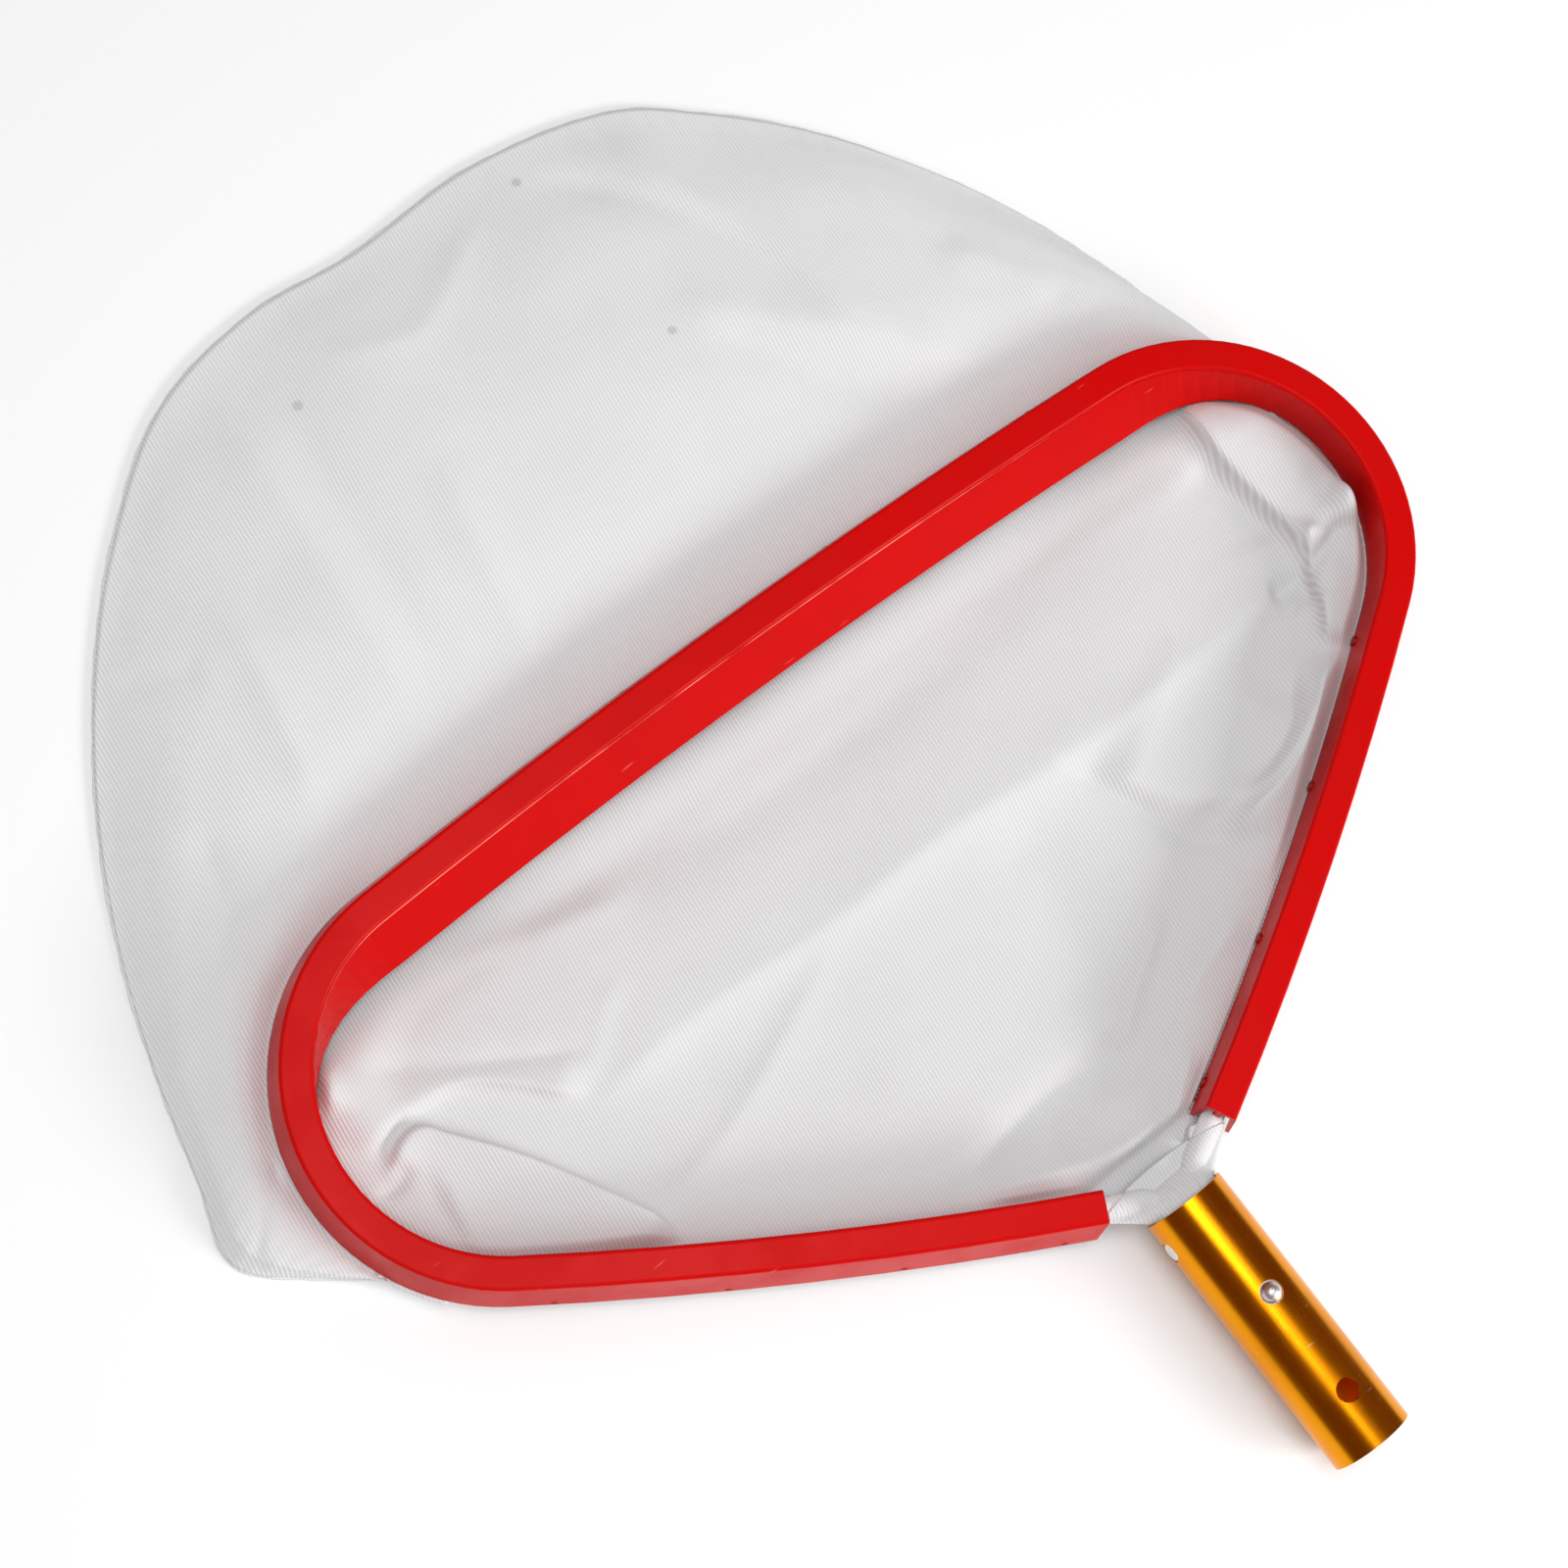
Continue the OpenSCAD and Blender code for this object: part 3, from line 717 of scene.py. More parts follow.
@dataclass(frozen=True)
class TwillCloth(Finish):
    """White polyester twill with fine ribs, patches of denser yarn and a few small spots.

    Attributes:
        tint: Colour on the ribs.
        shade: Colour between the ribs.
        dense: Colour of the patches of denser yarn.
        stain: Colour of a spot.
        pitch: Distance between ribs in millimetres.
        depth: Depth of the weave's bump in millimetres.
        spots: Tuples of x, y and radius in millimetres, one for each spot.
    """

    tint: tuple = (0.83, 0.83, 0.835)
    shade: tuple = (0.69, 0.69, 0.70)
    dense: tuple = (0.60, 0.60, 0.62)
    stain: tuple = (0.36, 0.36, 0.37)
    pitch: float = 1.3
    depth: float = 0.22
    spots: tuple = ()

    def build(self) -> bpy.types.Material:
        """Makes the cloth material."""
        mat, s, shader = self.start(Roughness=0.85, Specular_IOR_Level=0.25, Sheen_Weight=0.12,
                                    Sheen_Roughness=0.5)
        weave = s.add("Group", {"Pitch mm": self.pitch}, node_tree=EFFECTS.twill)
        skin = s.add("Group", {"Grain": 0.7}, node_tree=EFFECTS.speckle)
        rib = s.math("MULTIPLY", weave.outputs["Rib"], 0.75)
        patch = s.math("MULTIPLY", weave.outputs["Patch"], 0.10)
        colour = s.mix(patch, s.mix(rib, (*self.shade, 1), (*self.tint, 1)), (*self.dense, 1))
        for x, y, r in self.spots:
            coord = s.add("TexCoord").outputs["Object"]
            flat = s.add("VectorMath", {0: coord, 1: (1, 1, 0)}, operation="MULTIPLY").outputs[0]
            gap = s.add("VectorMath", {0: flat, 1: (x * MM, y * MM, 0)}, operation="DISTANCE")
            spot = s.ramp(gap.outputs[1], r * 0.4 * MM, r * 1.2 * MM, 0.45, 0.0)
            colour = s.mix(spot, colour, (*self.stain, 1))
        s.join(colour, shader.inputs["Base Color"])
        s.join(s.math("MULTIPLY_ADD", skin.outputs["Dust"], 0.08, 0.8), shader.inputs["Roughness"])
        self.bump(s, shader, weave.outputs["Height"], 0.55, self.depth)
        return mat


@dataclass(frozen=True)
class GoldAnodised(Finish):
    """Drawn aluminium tube, dyed and anodised gold.

    Attributes:
        tint: Colour of the dye.
        smudged: Colour under smudges.
        bared: Colour of the metal in scratches.
    """

    tint: tuple = (0.80, 0.295, 0.004)
    smudged: tuple = (0.76, 0.265, 0.003)
    bared: tuple = (0.95, 0.82, 0.6)

    def build(self) -> bpy.types.Material:
        """Makes the gold material."""
        mat, s, shader = self.start(Metallic=1.0, Roughness=0.24)
        marks = s.add("Group", {"Fineness": 1.0, "Amount": 0.35}, node_tree=EFFECTS.scuffs)
        colour = s.mix(marks.outputs["Smudge"], (*self.tint, 1), (*self.smudged, 1))
        colour = s.mix(marks.outputs["Scratch"], colour, (*self.bared, 1))
        s.join(colour, shader.inputs["Base Color"])
        rough = s.math("MULTIPLY_ADD", marks.outputs["Lines"], 0.10, 0.19)
        rough = s.math("MULTIPLY_ADD", marks.outputs["Smudge"], 0.06, rough)
        s.join(rough, shader.inputs["Roughness"])
        self.bump(s, shader, marks.outputs["Lines"], 0.12, 0.015)
        return mat


@dataclass(frozen=True)
class RedPlastic(Finish):
    """Semi-gloss extruded plastic with faint scuffs.

    Attributes:
        tint: Colour of the plastic.
        smudged: Colour under smudges.
        scratched: Colour in scratches.
    """

    tint: tuple = (0.57, 0.0012, 0.001)
    smudged: tuple = (0.53, 0.0012, 0.001)
    scratched: tuple = (0.82, 0.16, 0.13)

    def build(self) -> bpy.types.Material:
        """Makes the red material."""
        mat, s, shader = self.start(Roughness=0.34, Specular_IOR_Level=0.07)
        marks = s.add("Group", {"Fineness": 0.35, "Amount": 0.3}, node_tree=EFFECTS.scuffs)
        skin = s.add("Group", {"Grain": 0.55}, node_tree=EFFECTS.speckle)
        colour = s.mix(marks.outputs["Smudge"], (*self.tint, 1), (*self.smudged, 1))
        scratch = s.math("MULTIPLY", marks.outputs["Scratch"], 0.35)
        colour = s.mix(scratch, colour, (*self.scratched, 1))
        s.join(colour, shader.inputs["Base Color"])
        rough = s.math("MULTIPLY_ADD", marks.outputs["Smudge"], 0.12, 0.28)
        s.join(rough, shader.inputs["Roughness"])
        self.bump(s, shader, skin.outputs["Height"], 0.18, 0.03)
        return mat


@dataclass(frozen=True)
class BareMetal(Finish):
    """Bright steel or mill finish aluminium with fine lines and pits.

    Attributes:
        tint: Colour of the metal.
        low: Least roughness.
        pit: Share of the tint that is left in pits.
    """

    tint: tuple = (0.86, 0.86, 0.87)
    low: float = 0.32
    pit: float = 0.55

    def build(self) -> bpy.types.Material:
        """Makes the metal material."""
        mat, s, shader = self.start(Metallic=1.0, Roughness=0.4)
        marks = s.add("Group", {"Fineness": 1.6, "Amount": 0.5}, node_tree=EFFECTS.scuffs)
        skin = s.add("Group", {"Grain": 1.2}, node_tree=EFFECTS.speckle)
        dark = tuple(c * self.pit for c in self.tint)
        colour = s.mix(skin.outputs["Dust"], (*self.tint, 1), (*dark, 1))
        s.join(colour, shader.inputs["Base Color"])
        rough = s.math("MULTIPLY_ADD", marks.outputs["Lines"], 0.25, self.low)
        s.join(rough, shader.inputs["Roughness"])
        self.bump(s, shader, skin.outputs["Height"], 0.3, 0.03)
        return mat


@dataclass(frozen=True)
class PlugPlastic(Finish):
    """Matt moulded plastic of the plug.

    Attributes:
        tint: Colour of the plastic.
        dusty: Colour of the dust in its pits.
    """

    tint: tuple = (0.62, 0.62, 0.6)
    dusty: tuple = (0.45, 0.45, 0.43)

    def build(self) -> bpy.types.Material:
        """Makes the plug's material."""
        mat, s, shader = self.start(Roughness=0.55)
        skin = s.add("Group", {"Grain": 0.8}, node_tree=EFFECTS.speckle)
        colour = s.mix(skin.outputs["Dust"], (*self.tint, 1), (*self.dusty, 1))
        s.join(colour, shader.inputs["Base Color"])
        self.bump(s, shader, skin.outputs["Height"], 0.4, 0.05)
        return mat


@dataclass
class Wardrobe:
    """Every material of the net, built once."""

    gold: bpy.types.Material = field(default_factory=lambda: GoldAnodised("gold_anodised").build())
    red: bpy.types.Material = field(default_factory=lambda: RedPlastic("rim_red").build())
    steel: bpy.types.Material = field(default_factory=lambda: BareMetal("bare_steel").build())
    aluminium: bpy.types.Material = field(
        default_factory=lambda: BareMetal("bare_aluminium", (0.72, 0.72, 0.73), 0.3).build())
    pins: bpy.types.Material = field(
        default_factory=lambda: BareMetal("pin_steel", (0.50, 0.06, 0.05), 0.5).build())
    # Lighter red that paints the edge highlight along the strip's top edge.
    painted_highlight_line: bpy.types.Material = field(
        default_factory=lambda: RedPlastic("rim_red_painted_highlight", (0.90, 0.22, 0.16)).build())
    plug: bpy.types.Material = field(default_factory=lambda: PlugPlastic("plug_plastic").build())
    cloth: bpy.types.Material = field(default_factory=lambda: TwillCloth(
        "mesh_cloth", spots=((41, 521, 2.2), (-72, 496, 2.2), (49, 443, 2.0))).build())
    # A darker copy of the same twill: painted shade for the lower cloth inside the loop and for the
    # neck.
    inner: bpy.types.Material = field(default_factory=lambda: TwillCloth(
        "mesh_cloth_painted_shade", tint=(0.77, 0.77, 0.775), shade=(0.63, 0.63, 0.64)).build())
    hem: bpy.types.Material = field(default_factory=lambda: TwillCloth(
        "hem_cloth", tint=(0.86, 0.86, 0.865), shade=(0.70, 0.70, 0.71), pitch=1.1,
        depth=0.15).build())
    thread: bpy.types.Material = field(default_factory=lambda: TwillCloth(
        "sewing_thread", tint=(0.9, 0.9, 0.9), shade=(0.78, 0.78, 0.78), pitch=0.4,
        depth=0.05).build())


# ---------------------------------------------------------------- sub-assemblies


@dataclass
class Fittings:
    """The hard pieces, which keep their CAD shapes and get their finishes here.

    Attributes:
        wardrobe: The materials.
        highlight_line_ends: Places on the front of the loop where the painted highlight line starts
            and stops. It is a thin lighter-red tube that paints the edge highlight on the strip.
        highlight_line_off: Place of the painted highlight line across the strip, outward from the
            rod.
        highlight_line_z: Height of the painted highlight line.
        highlight_line_r: Radius of the painted highlight line at its tips, and what it gains from
            there.
    """

    wardrobe: Wardrobe
    highlight_line_ends: tuple = (0.19, 0.80)
    highlight_line_off: float = -5.86
    highlight_line_z: float = 10.36
    highlight_line_r: tuple = (0.05, 0.2)

    def dress_all(self) -> None:
        """Gives each CAD node its material. The slot listed with each group is not applied."""
        w = self.wardrobe
        looks = (
            (Slot.GOLD, w.gold, ["handle_socket"]),
            (Slot.STEEL, w.steel, ["plug_rivet", "rivet_washer", "clip_bend", "clip_arm_upper",
                                   "clip_arm_lower", "clip_button_upper", "clip_button_lower"]),
            (Slot.ALUMINIUM, w.aluminium, ["frame_rod"]),
            (Slot.RED, w.red, ["rim_strip", "scoop_lip"]),
            (Slot.PLUG, w.plug, ["plug_upper", "plug_lower"]),
            (Slot.STEEL, w.pins, ["rim_pins"]),
        )
        for slot, material, names in looks:
            for name in names:
                dress(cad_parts[name], material)
                LOG.info("%s: %s", name, material.name)

    def painted_highlight_line(self) -> None:
        """Builds a thin lighter-red tube that paints the highlight where the scoop lip leaves the
        strip's top edge.
        """
        start, stop = self.highlight_line_ends
        t = np.linspace(start, stop, 420)
        line = SHAPE.loop_at(t, self.highlight_line_off)
        tip, gain = self.highlight_line_r
        radius = tip + gain * smooth(np.minimum(t - start, stop - t) / 0.12)
        path = np.c_[line, np.full(len(t), self.highlight_line_z)]
        tube = sweep(path, normals_of(line), rings(turn_angles(8), radius[:, None]))
        # The tube's lighter red paints the edge highlight along the strip.
        obj = grid_object("strip_painted_highlight", tube, close_columns=True, caps=True)
        settle(obj, self.wardrobe.painted_highlight_line)


@dataclass
class Bag:
    """The twill bag: its upper and lower cloth, the sewn edge and the thread in it.

    Lengths are in millimetres. A stage is a distance from the rod's line and a height.

    Attributes:
        wardrobe: The materials.
        upper_grid: Rows and columns of the upper cloth.
        lower_grid: Rows and columns of the lower cloth.
        thickness: Thickness of both.
        steps: Share of the way from the strip to the edge, and share of the puff there.
        puff: How far the upper cloth stands up.
        under_strip: Height of the cloth under the strip.
        rim_z: Height of the upper cloth at the edge.
        floor_gap: Least height of the lower cloth over the floor.
        upper_off: Where the upper cloth comes out from under the strip.
        lower_off: Where the lower cloth comes out from under the strip, inward.
        upper_tuck: Stages of the upper cloth between the rod and upper_off.
        lower_tuck: Stages of the lower cloth between lower_off, inward, and the rod.
        wall_ends: Where the tuck ends at the corner, left and right: a move along Y and a fade.
        throat: Points of the lower cloth between the socket and the strip's right end.
        tip_share: Place of the outline's far end on the bag's edge.
        pucker: Height, length and reach inward of the puckers along the sewn edge.
        rim_run: Length along the edge that the puckers are spread over.
        rim_gap: Least height of the upper cloth over the floor.
        headroom: How far folds may rise over the cloth under the strip.
        throat_z: Height of the lower cloth in the throat.
        hem_width: Half the width of the sewn edge.
        hem_inset: How far the middle of the sewn edge lies inside the bag's edge.
        hem_z: Height of the sewn edge's middle over the floor.
        stitch_z: Height of the stitches over the floor.
        stitch_insets: How far each row of stitches lies inside the bag's edge.
        stitch_pitch: Distance between stitches.
        stitch_steps: Places along a stitch, with its height and its radius there.
    """

    wardrobe: Wardrobe
    upper_grid: tuple = (300, 110)
    lower_grid: tuple = (430, 400)
    thickness: float = 0.4
    steps: tuple = ((0.0, 0.0), (0.08, 0.35), (0.2, 0.8), (0.36, 1.0), (0.55, 0.8), (0.75, 0.3),
                    (0.9, -0.45), (1.0, -1.0))
    puff: float = 7.0
    under_strip: float = -9.2
    rim_z: float = -16.5
    floor_gap: float = 0.45
    upper_off: float = 10.0
    lower_off: float = 6.6
    upper_tuck: tuple = ((0.0, -4.1), (0.6, -6.4), (1.8, -8.4), (4.0, -9.1), (7.0, -9.2))
    lower_tuck: tuple = ((4.6, -9.1), (3.2, -8.7), (1.8, -6.9), (0.6, -4.9), (0.1, -4.1))
    wall_ends: tuple = ((-30, 14), (8, 16))
    throat: tuple = ((9.0, 108.5), (14.5, 113.0), (19.0, 117.2))
    tip_share: float = 0.53
    pucker: tuple = (0.28, 2.3, 9)
    rim_run: float = 1250
    rim_gap: float = 0.95
    headroom: float = 22
    throat_z: float = -7.0
    hem_width: float = 3.0
    hem_inset: float = 2.2
    hem_z: float = 0.75
    stitch_z: float = 1.12
    stitch_insets: tuple = (1.3, 3.6)
    stitch_pitch: float = 3.2
    stitch_steps: tuple = ((-1, -0.25, 0.08), (-0.7, 0.1, 0.22), (0, 0.2, 0.27), (0.7, 0.1, 0.22),
                           (1, -0.25, 0.08))

    @property
    def upper_folds(self) -> tuple:
        """Folds of the upper cloth."""
        return (
            Fold(((-93, 532), (-98, 457), (-108, 371)), 1.7, 8, 18, 1.5, 0.3),
            Fold(((-76, 507), (-86, 422), (-92, 385)), -1.0, 10, 8, 1.7),
            Fold(((-44, 457), (-58, 400), (-63, 360)), 1.6, 9, 9),
            Fold(((-62, 512), (-29, 495), (-10, 499), (27, 522)), 0.9, 7, 6, 1.5),
            Fold(((76, 530), (84, 489), (100, 442), (112, 380)), 2.0, 8, 12, 1.4),
            Fold(((40, 526), (72, 490), (92, 452), (98, 410)), -1.9, 6, 8, 1.5),
            Fold(((50, 458), (90, 417), (124, 381), (135, 362)), 2.2, 14, 9, 1.5),
            Fold(((57, 440), (80, 405), (106, 363)), -1.4, 7, 8, 1.5),
            Fold(((147, 415), (162, 395), (170, 371)), 1.4, 8, 8, 1.5),
            Fold(((170, 362), (190, 358), (204, 339)), -1.6, 6, 7, 1.5),
            Fold(((-145, 455), (-138, 430), (-154, 370)), 1.5, 9, 8),
            Fold(((-182, 454), (-163, 444), (-150, 438)), -0.8, 7, 7, 1.5),
            Fold(((-258, 264), (-241, 282), (-226, 291)), -3.0, 4, 3, 1.2, 0.15),
            Fold(((-232, 290), (-249, 271), (-244, 255), (-226, 236)), 1.8, 4, 5, 1.4, 0.2),
            Fold(((-184, 398), (-193, 371), (-194, 340)), -1.3, 7, 8),
            Fold(((-250, 330), (-228, 338), (-214, 336)), 1.0, 6, 6),
        )

    @property
    def inner_folds(self) -> tuple:
        """Folds of the slack cloth inside the loop."""
        return (
            Fold(((196, 248), (138, 243), (73, 242), (16, 246), (-34, 245), (-92, 248),
                  (-150, 244)), 2.9, 8, 24, 1.3, 0.12),
            Fold(((-175, 319), (-94, 306), (-29, 295), (66, 299), (150, 308)), -2.4, 15, 14, 1.7),
            Fold(((-160, 328), (-60, 322), (60, 322), (160, 326)), 2.0, 9, 10, 1.8),
            Fold(((-196, 303), (-150, 275), (-122, 258)), -1.8, 4, 5, 1.2, 0.2),
            Fold(((-150, 312), (-112, 301), (-78, 293)), 1.3, 5, 6, 1.3),
            Fold(((-210, 276), (-193, 281), (-169, 279), (-152, 267), (-134, 247)),
                 4.2, 18, 3.4, 1.3, 0.15, -1.6),
            Fold(((-208, 262), (-190, 271), (-183, 264), (-163, 236), (-140, 190)),
                 7.0, 3.0, 19, 1.25, 0.14, 2.8),
            Fold(((-101, 277), (-122, 261), (-137, 247)), 1.0, 4, 5, 1.3, 0.3),
            Fold(((64, 246), (78, 217), (87, 193), (113, 172)), -2.6, 5, 4, 1.2, 0.2),
            Fold(((74, 236), (92, 207), (122, 193), (158, 205)), 4.2, 34, 4, 1.3, 0.16),
            Fold(((172, 219), (161, 207), (143, 194), (126, 187), (110, 185), (94, 187)),
                 8.5, 11, 8, 1.2, 0.2, -3.6),
            Fold(((157, 220), (142, 204), (124, 196), (106, 195)), -3.6, 3, 8, 1.5, 0.25),
            Fold(((64, 180), (38, 165), (18, 149)), 2.6, 5, 6, 1.2, 0.25),
            Fold(((84, 162), (60, 156), (44, 147)), 1.8, 5, 5, 1.3),
            Fold(((37, 243), (35, 198), (24, 157)), -2.0, 18, 14, 1.7),
            Fold(((26, 151), (-12, 155), (-62, 149)), -3.0, 9, 4, 1.3, 0.2),
            Fold(((24, 118), (-11, 127), (-56, 144)), 3.6, 7, 6, 1.4, 0.2),
            Fold(((10, 112), (20, 124), (40, 138)), 2.4, 5, 5, 1.3, 0.25),
            Fold(((-110, 254), (-71, 214), (-48, 186)), -1.2, 12, 12, 1.8),
            Fold(((-152, 206), (-105, 211), (-30, 243)), 1.2, 5, 9, 1.4),
            Fold(((189, 322), (187, 311), (186, 298), (187, 284), (189, 270), (190, 258),
                  (187, 246)), 8.5, 26, 3.6, 1.3, 0.13, -3.2),
            Fold(((178, 300), (181, 284), (184, 268), (182, 256)), -3.2, 4, 12, 1.5, 0.2),
            Fold(((197, 256), (192, 251), (186, 241), (180, 229), (170, 215)),
                 7.5, 20, 3.4, 1.3, 0.16, -3.0),
            Fold(((207, 274), (210.5, 258), (211, 242), (206, 226), (196, 212)),
                 6.5, 7, 8, 1.8, 0.3),
            Fold(((208, 262), (208, 254), (203, 246)), 5.0, 5, 6, 1.6, 0.3),
            Fold(((204, 249), (198, 246), (190, 243), (182, 238)), -4.0, 1.6, 2.2, 1.3, 0.2),
            Fold(((166, 245), (174, 243), (182, 241), (180, 230)), -5.5, 3, 6, 1.4, 0.2),
            Fold(((-203, 310), (-203, 302), (-208, 294)), 4.6, 5, 5, 1.6, 0.3),
            Fold(((-212, 262), (-203, 262), (-196, 266)), -2.6, 2, 2, 1.2, 0.25),
        )

    def upper(self) -> bpy.types.Object:
        """Builds the upper cloth, from under the front strip to the sewn edge.

        Returns:
            The sheet, one skin thick before its thickness is added.
        """
        rows, columns = self.upper_grid
        t = np.linspace(0.004, 0.996, rows)
        v = np.linspace(0, 1, columns) ** 1.1
        start, rim = SHAPE.loop_at(t, self.upper_off), SHAPE.bag_edge(t)
        span = np.linalg.norm(rim - start, axis=1)
        flat = smooth(span / 60)
        share, lift = np.array(self.steps).T
        curve = np.interp(v, share, lift)
        curve = np.convolve(np.pad(curve, 6, mode="edge"), np.ones(13) / 13, mode="valid")
        pos = start[:, None] + (rim - start)[:, None] * v[None, :, None]
        x, y = pos[..., 0], pos[..., 1]
        up = self.puff * curve[None] * flat[:, None]
        down = (self.under_strip - self.rim_z) * curve[None]
        z = self.under_strip + np.where(curve[None] > 0, up, down)
        loose = smooth(v / 0.1)[None] * smooth((1 - v) / 0.12)[None] * flat[:, None]
        z = z + loose * (0.5 * ripple(x, y, 75, 3) + 0.05 * ripple(x, y, 19, 4))
        moves = loose[..., None] * sum(f.move(x, y) for f in self.upper_folds)
        x, y, z = x + moves[..., 0], y + moves[..., 1], z + moves[..., 2]
        height, length, reach = self.pucker
        wave = np.sin(t[:, None] * self.rim_run / length + 2 * ripple(x, y, 40, 5))
        wave = wave * np.exp(-((1 - v[None]) * span[:, None]) / reach)
        z = z + height * wave * smooth((1 - v) * 40)[None]
        z = np.maximum(z, SHAPE.floor_z + self.rim_gap)
        tuck = [np.c_[SHAPE.loop_at(t, off), np.full(len(t), level)]
                for off, level in self.upper_tuck]
        tuck = np.array(tuck).transpose(1, 0, 2)
        return grid_object("bag_upper_cloth",
                           np.concatenate([tuck, np.stack([x, y, z], -1)], 1))

    def outline(self, count: int, off: float, right: bool) -> np.ndarray:
        """One side of the lower cloth's outline from the throat to the middle of the far edge.

        Args:
            count: Number of points, evenly spaced.
            off: Distance inward from the outline.
            right: The right side, or else the left.

        Returns:
            Array (count, 2) of points.
        """
        rod = SHAPE.half_rod(-off)[::-1]
        angle = SHAPE.right_a if right else 180 - SHAPE.left_a
        turn = np.degrees(np.arctan2(rod[:, 1] - SHAPE.corner[1], rod[:, 0] - SHAPE.corner[0]))
        keep = (rod[:, 1] < SHAPE.corner[1] - 60) | (turn < angle)
        rod = rod[keep & (rod[:, 0] > 0)]
        edge = SHAPE.bag_edge(np.linspace(0.995 if right else 0.005, self.tip_share, 200))
        edge = edge + normals_of(edge) * (off if right else -off)
        line = np.vstack([np.vstack([self.throat, rod]) * [1 if right else -1, 1], edge])
        run = run_of(line)
        return points_at(line, run, np.linspace(0, run[-1], count))

    @staticmethod
    def relaxed(rows: np.ndarray) -> np.ndarray:
        """Evens out neighbouring points twice, with the edges held.

        Args:
            rows: Array (rows, columns, 3) of points.

        Returns:
            The evened out points.
        """
        rows = rows.copy()
        for _ in range(2):
            rows[1:-1] = rows[1:-1] * 0.5 + (rows[:-2] + rows[2:]) * 0.25
            rows[:, 1:-1] = rows[:, 1:-1] * 0.5 + (rows[:, :-2] + rows[:, 2:]) * 0.25
        return rows

    def lower_points(self, x: np.ndarray, y: np.ndarray) -> np.ndarray:
        """Points of the lower cloth.

        Args:
            x: Places along X, before folds move them.
            y: Places along Y.

        Returns:
            Points, with x, y and z in the last axis.
        """
        depth = SHAPE.inside(x, y)
        floor = SHAPE.floor_z + self.floor_gap
        front = smooth((y - 296) / 30)
        rise = (self.under_strip - floor) * (1 - smooth((depth - 6) / 30)) * (depth > 0)
        z = floor + rise * (1 - front) + 3.6 * smooth(depth / 25) * (1 - front)
        z += (self.throat_z - z) * smooth((132 - y) / 16)
        loose = smooth((depth - self.lower_off) / 3.5)
        z += loose * (0.4 * ripple(x, y, 60, 11) + 0.05 * ripple(x, y, 15, 12))
        moves = loose[..., None] * sum(f.move(x, y) for f in self.inner_folds)
        z += moves[..., 2]
        z += 0.15 * (1 + ripple(x, y, 30, 13)) * (depth < 0)
        under_front = smooth((y - 318) / 12) * smooth((190 - abs(x)) / 20)
        cover = smooth((depth - 6.4) / 3.0) * (1 - under_front)
        z = np.clip(z, floor, self.under_strip + self.headroom * cover)
        return np.stack([x + moves[..., 0], y + moves[..., 1], z], -1)

    def lower(self) -> bpy.types.Object:
        """Builds the lower cloth, from the rod on both sides to the far sewn edge.

        Returns:
            The sheet, one skin thick before its thickness is added.
        """
        rows, columns = self.lower_grid
        left = self.outline(rows, self.lower_off, False)
        right = self.outline(rows, self.lower_off, True)
        u = np.linspace(-1, 1, columns)
        u = 0.5 + 0.5 * (0.55 * u + 0.45 * np.sin(u * np.pi / 2))
        pos = left[:, None] * (1 - u[None, :, None]) + right[:, None] * u[None, :, None]
        sheet = self.relaxed(self.lower_points(pos[..., 0], pos[..., 1]))
        floor = SHAPE.floor_z + self.floor_gap
        for off, height in self.lower_tuck:
            for on_right in (False, True):
                edge = self.outline(rows, off, on_right)
                end, fade = self.wall_ends[on_right]
                wall = smooth((SHAPE.corner[1] + end - edge[:, 1]) / fade)
                wall = wall * (SHAPE.inside(edge[:, 0], edge[:, 1]) > -2)
                z = np.where(wall > 0, height * wall + floor * (1 - wall), floor)
                strand = np.c_[edge, z][:, None]
                sheet = np.concatenate([sheet, strand] if on_right else [strand, sheet], 1)
        return grid_object("bag_lower_cloth", sheet)

    def sewn_edge(self) -> bpy.types.Object:
        """Builds the folded hem along the edge of the bag."""
        line = SHAPE.bag_edge(np.linspace(0.012, 0.988, 760))
        s = run_of(line)
        wave = np.sin(s / 1.9) * 0.14 + np.sin(s / 6.1 + 1) * 0.16 + 0.2 * np.sin(s / 23)
        a = turn_angles(14)
        wide, tall = self.hem_width + wave * 0.7, 0.34 + 0.05 * np.sin(s / 1.9)
        side = np.sign(np.cos(a)) * np.abs(np.cos(a)) ** 0.6
        high = np.sign(np.sin(a)) * np.abs(np.sin(a)) ** 0.8
        sections = np.stack([side[None] * wide[:, None] - self.hem_inset,
                             high[None] * tall[:, None] + wave[:, None] * 0.6], -1)
        path = np.c_[line, np.full(len(line), SHAPE.floor_z + self.hem_z)]
        return grid_object("bag_sewn_edge", sweep(path, normals_of(line), sections),
                           close_columns=True, caps=True)

    def thread(self) -> bpy.types.Object:
        """Builds the two rows of stitches along the sewn edge."""
        fine = SHAPE.bag_edge(np.linspace(0.014, 0.986, 4000))
        run, out = run_of(fine), normals_of(fine)
        along, height, radius = np.array(self.stitch_steps).T
        steps, sides = len(along), 6
        ring = rings(np.arange(sides) * np.pi / 3, radius[:, None])
        stitch = [[i * sides + j, i * sides + (j + 1) % sides,
                   (i + 1) * sides + (j + 1) % sides, (i + 1) * sides + j]
                  for i in range(steps - 1) for j in range(sides)]
        stitch += [list(range(sides))[::-1], list(range((steps - 1) * sides, steps * sides))]
        points, faces = [], []
        for inset in self.stitch_insets:
            for middle in np.arange(2, run[-1] - 2, self.stitch_pitch):
                k = np.searchsorted(run, middle)
                line = points_at(fine, run, middle + along) - out[k] * inset
                path = np.c_[line, SHAPE.floor_z + self.stitch_z + height]
                base = len(points) * steps * sides
                points.append(sweep(path, np.repeat(out[k][None], steps, 0), ring).reshape(-1, 3))
                faces += [[base + corner for corner in face] for face in stitch]
        return mesh_object("bag_thread", np.vstack(points), faces)

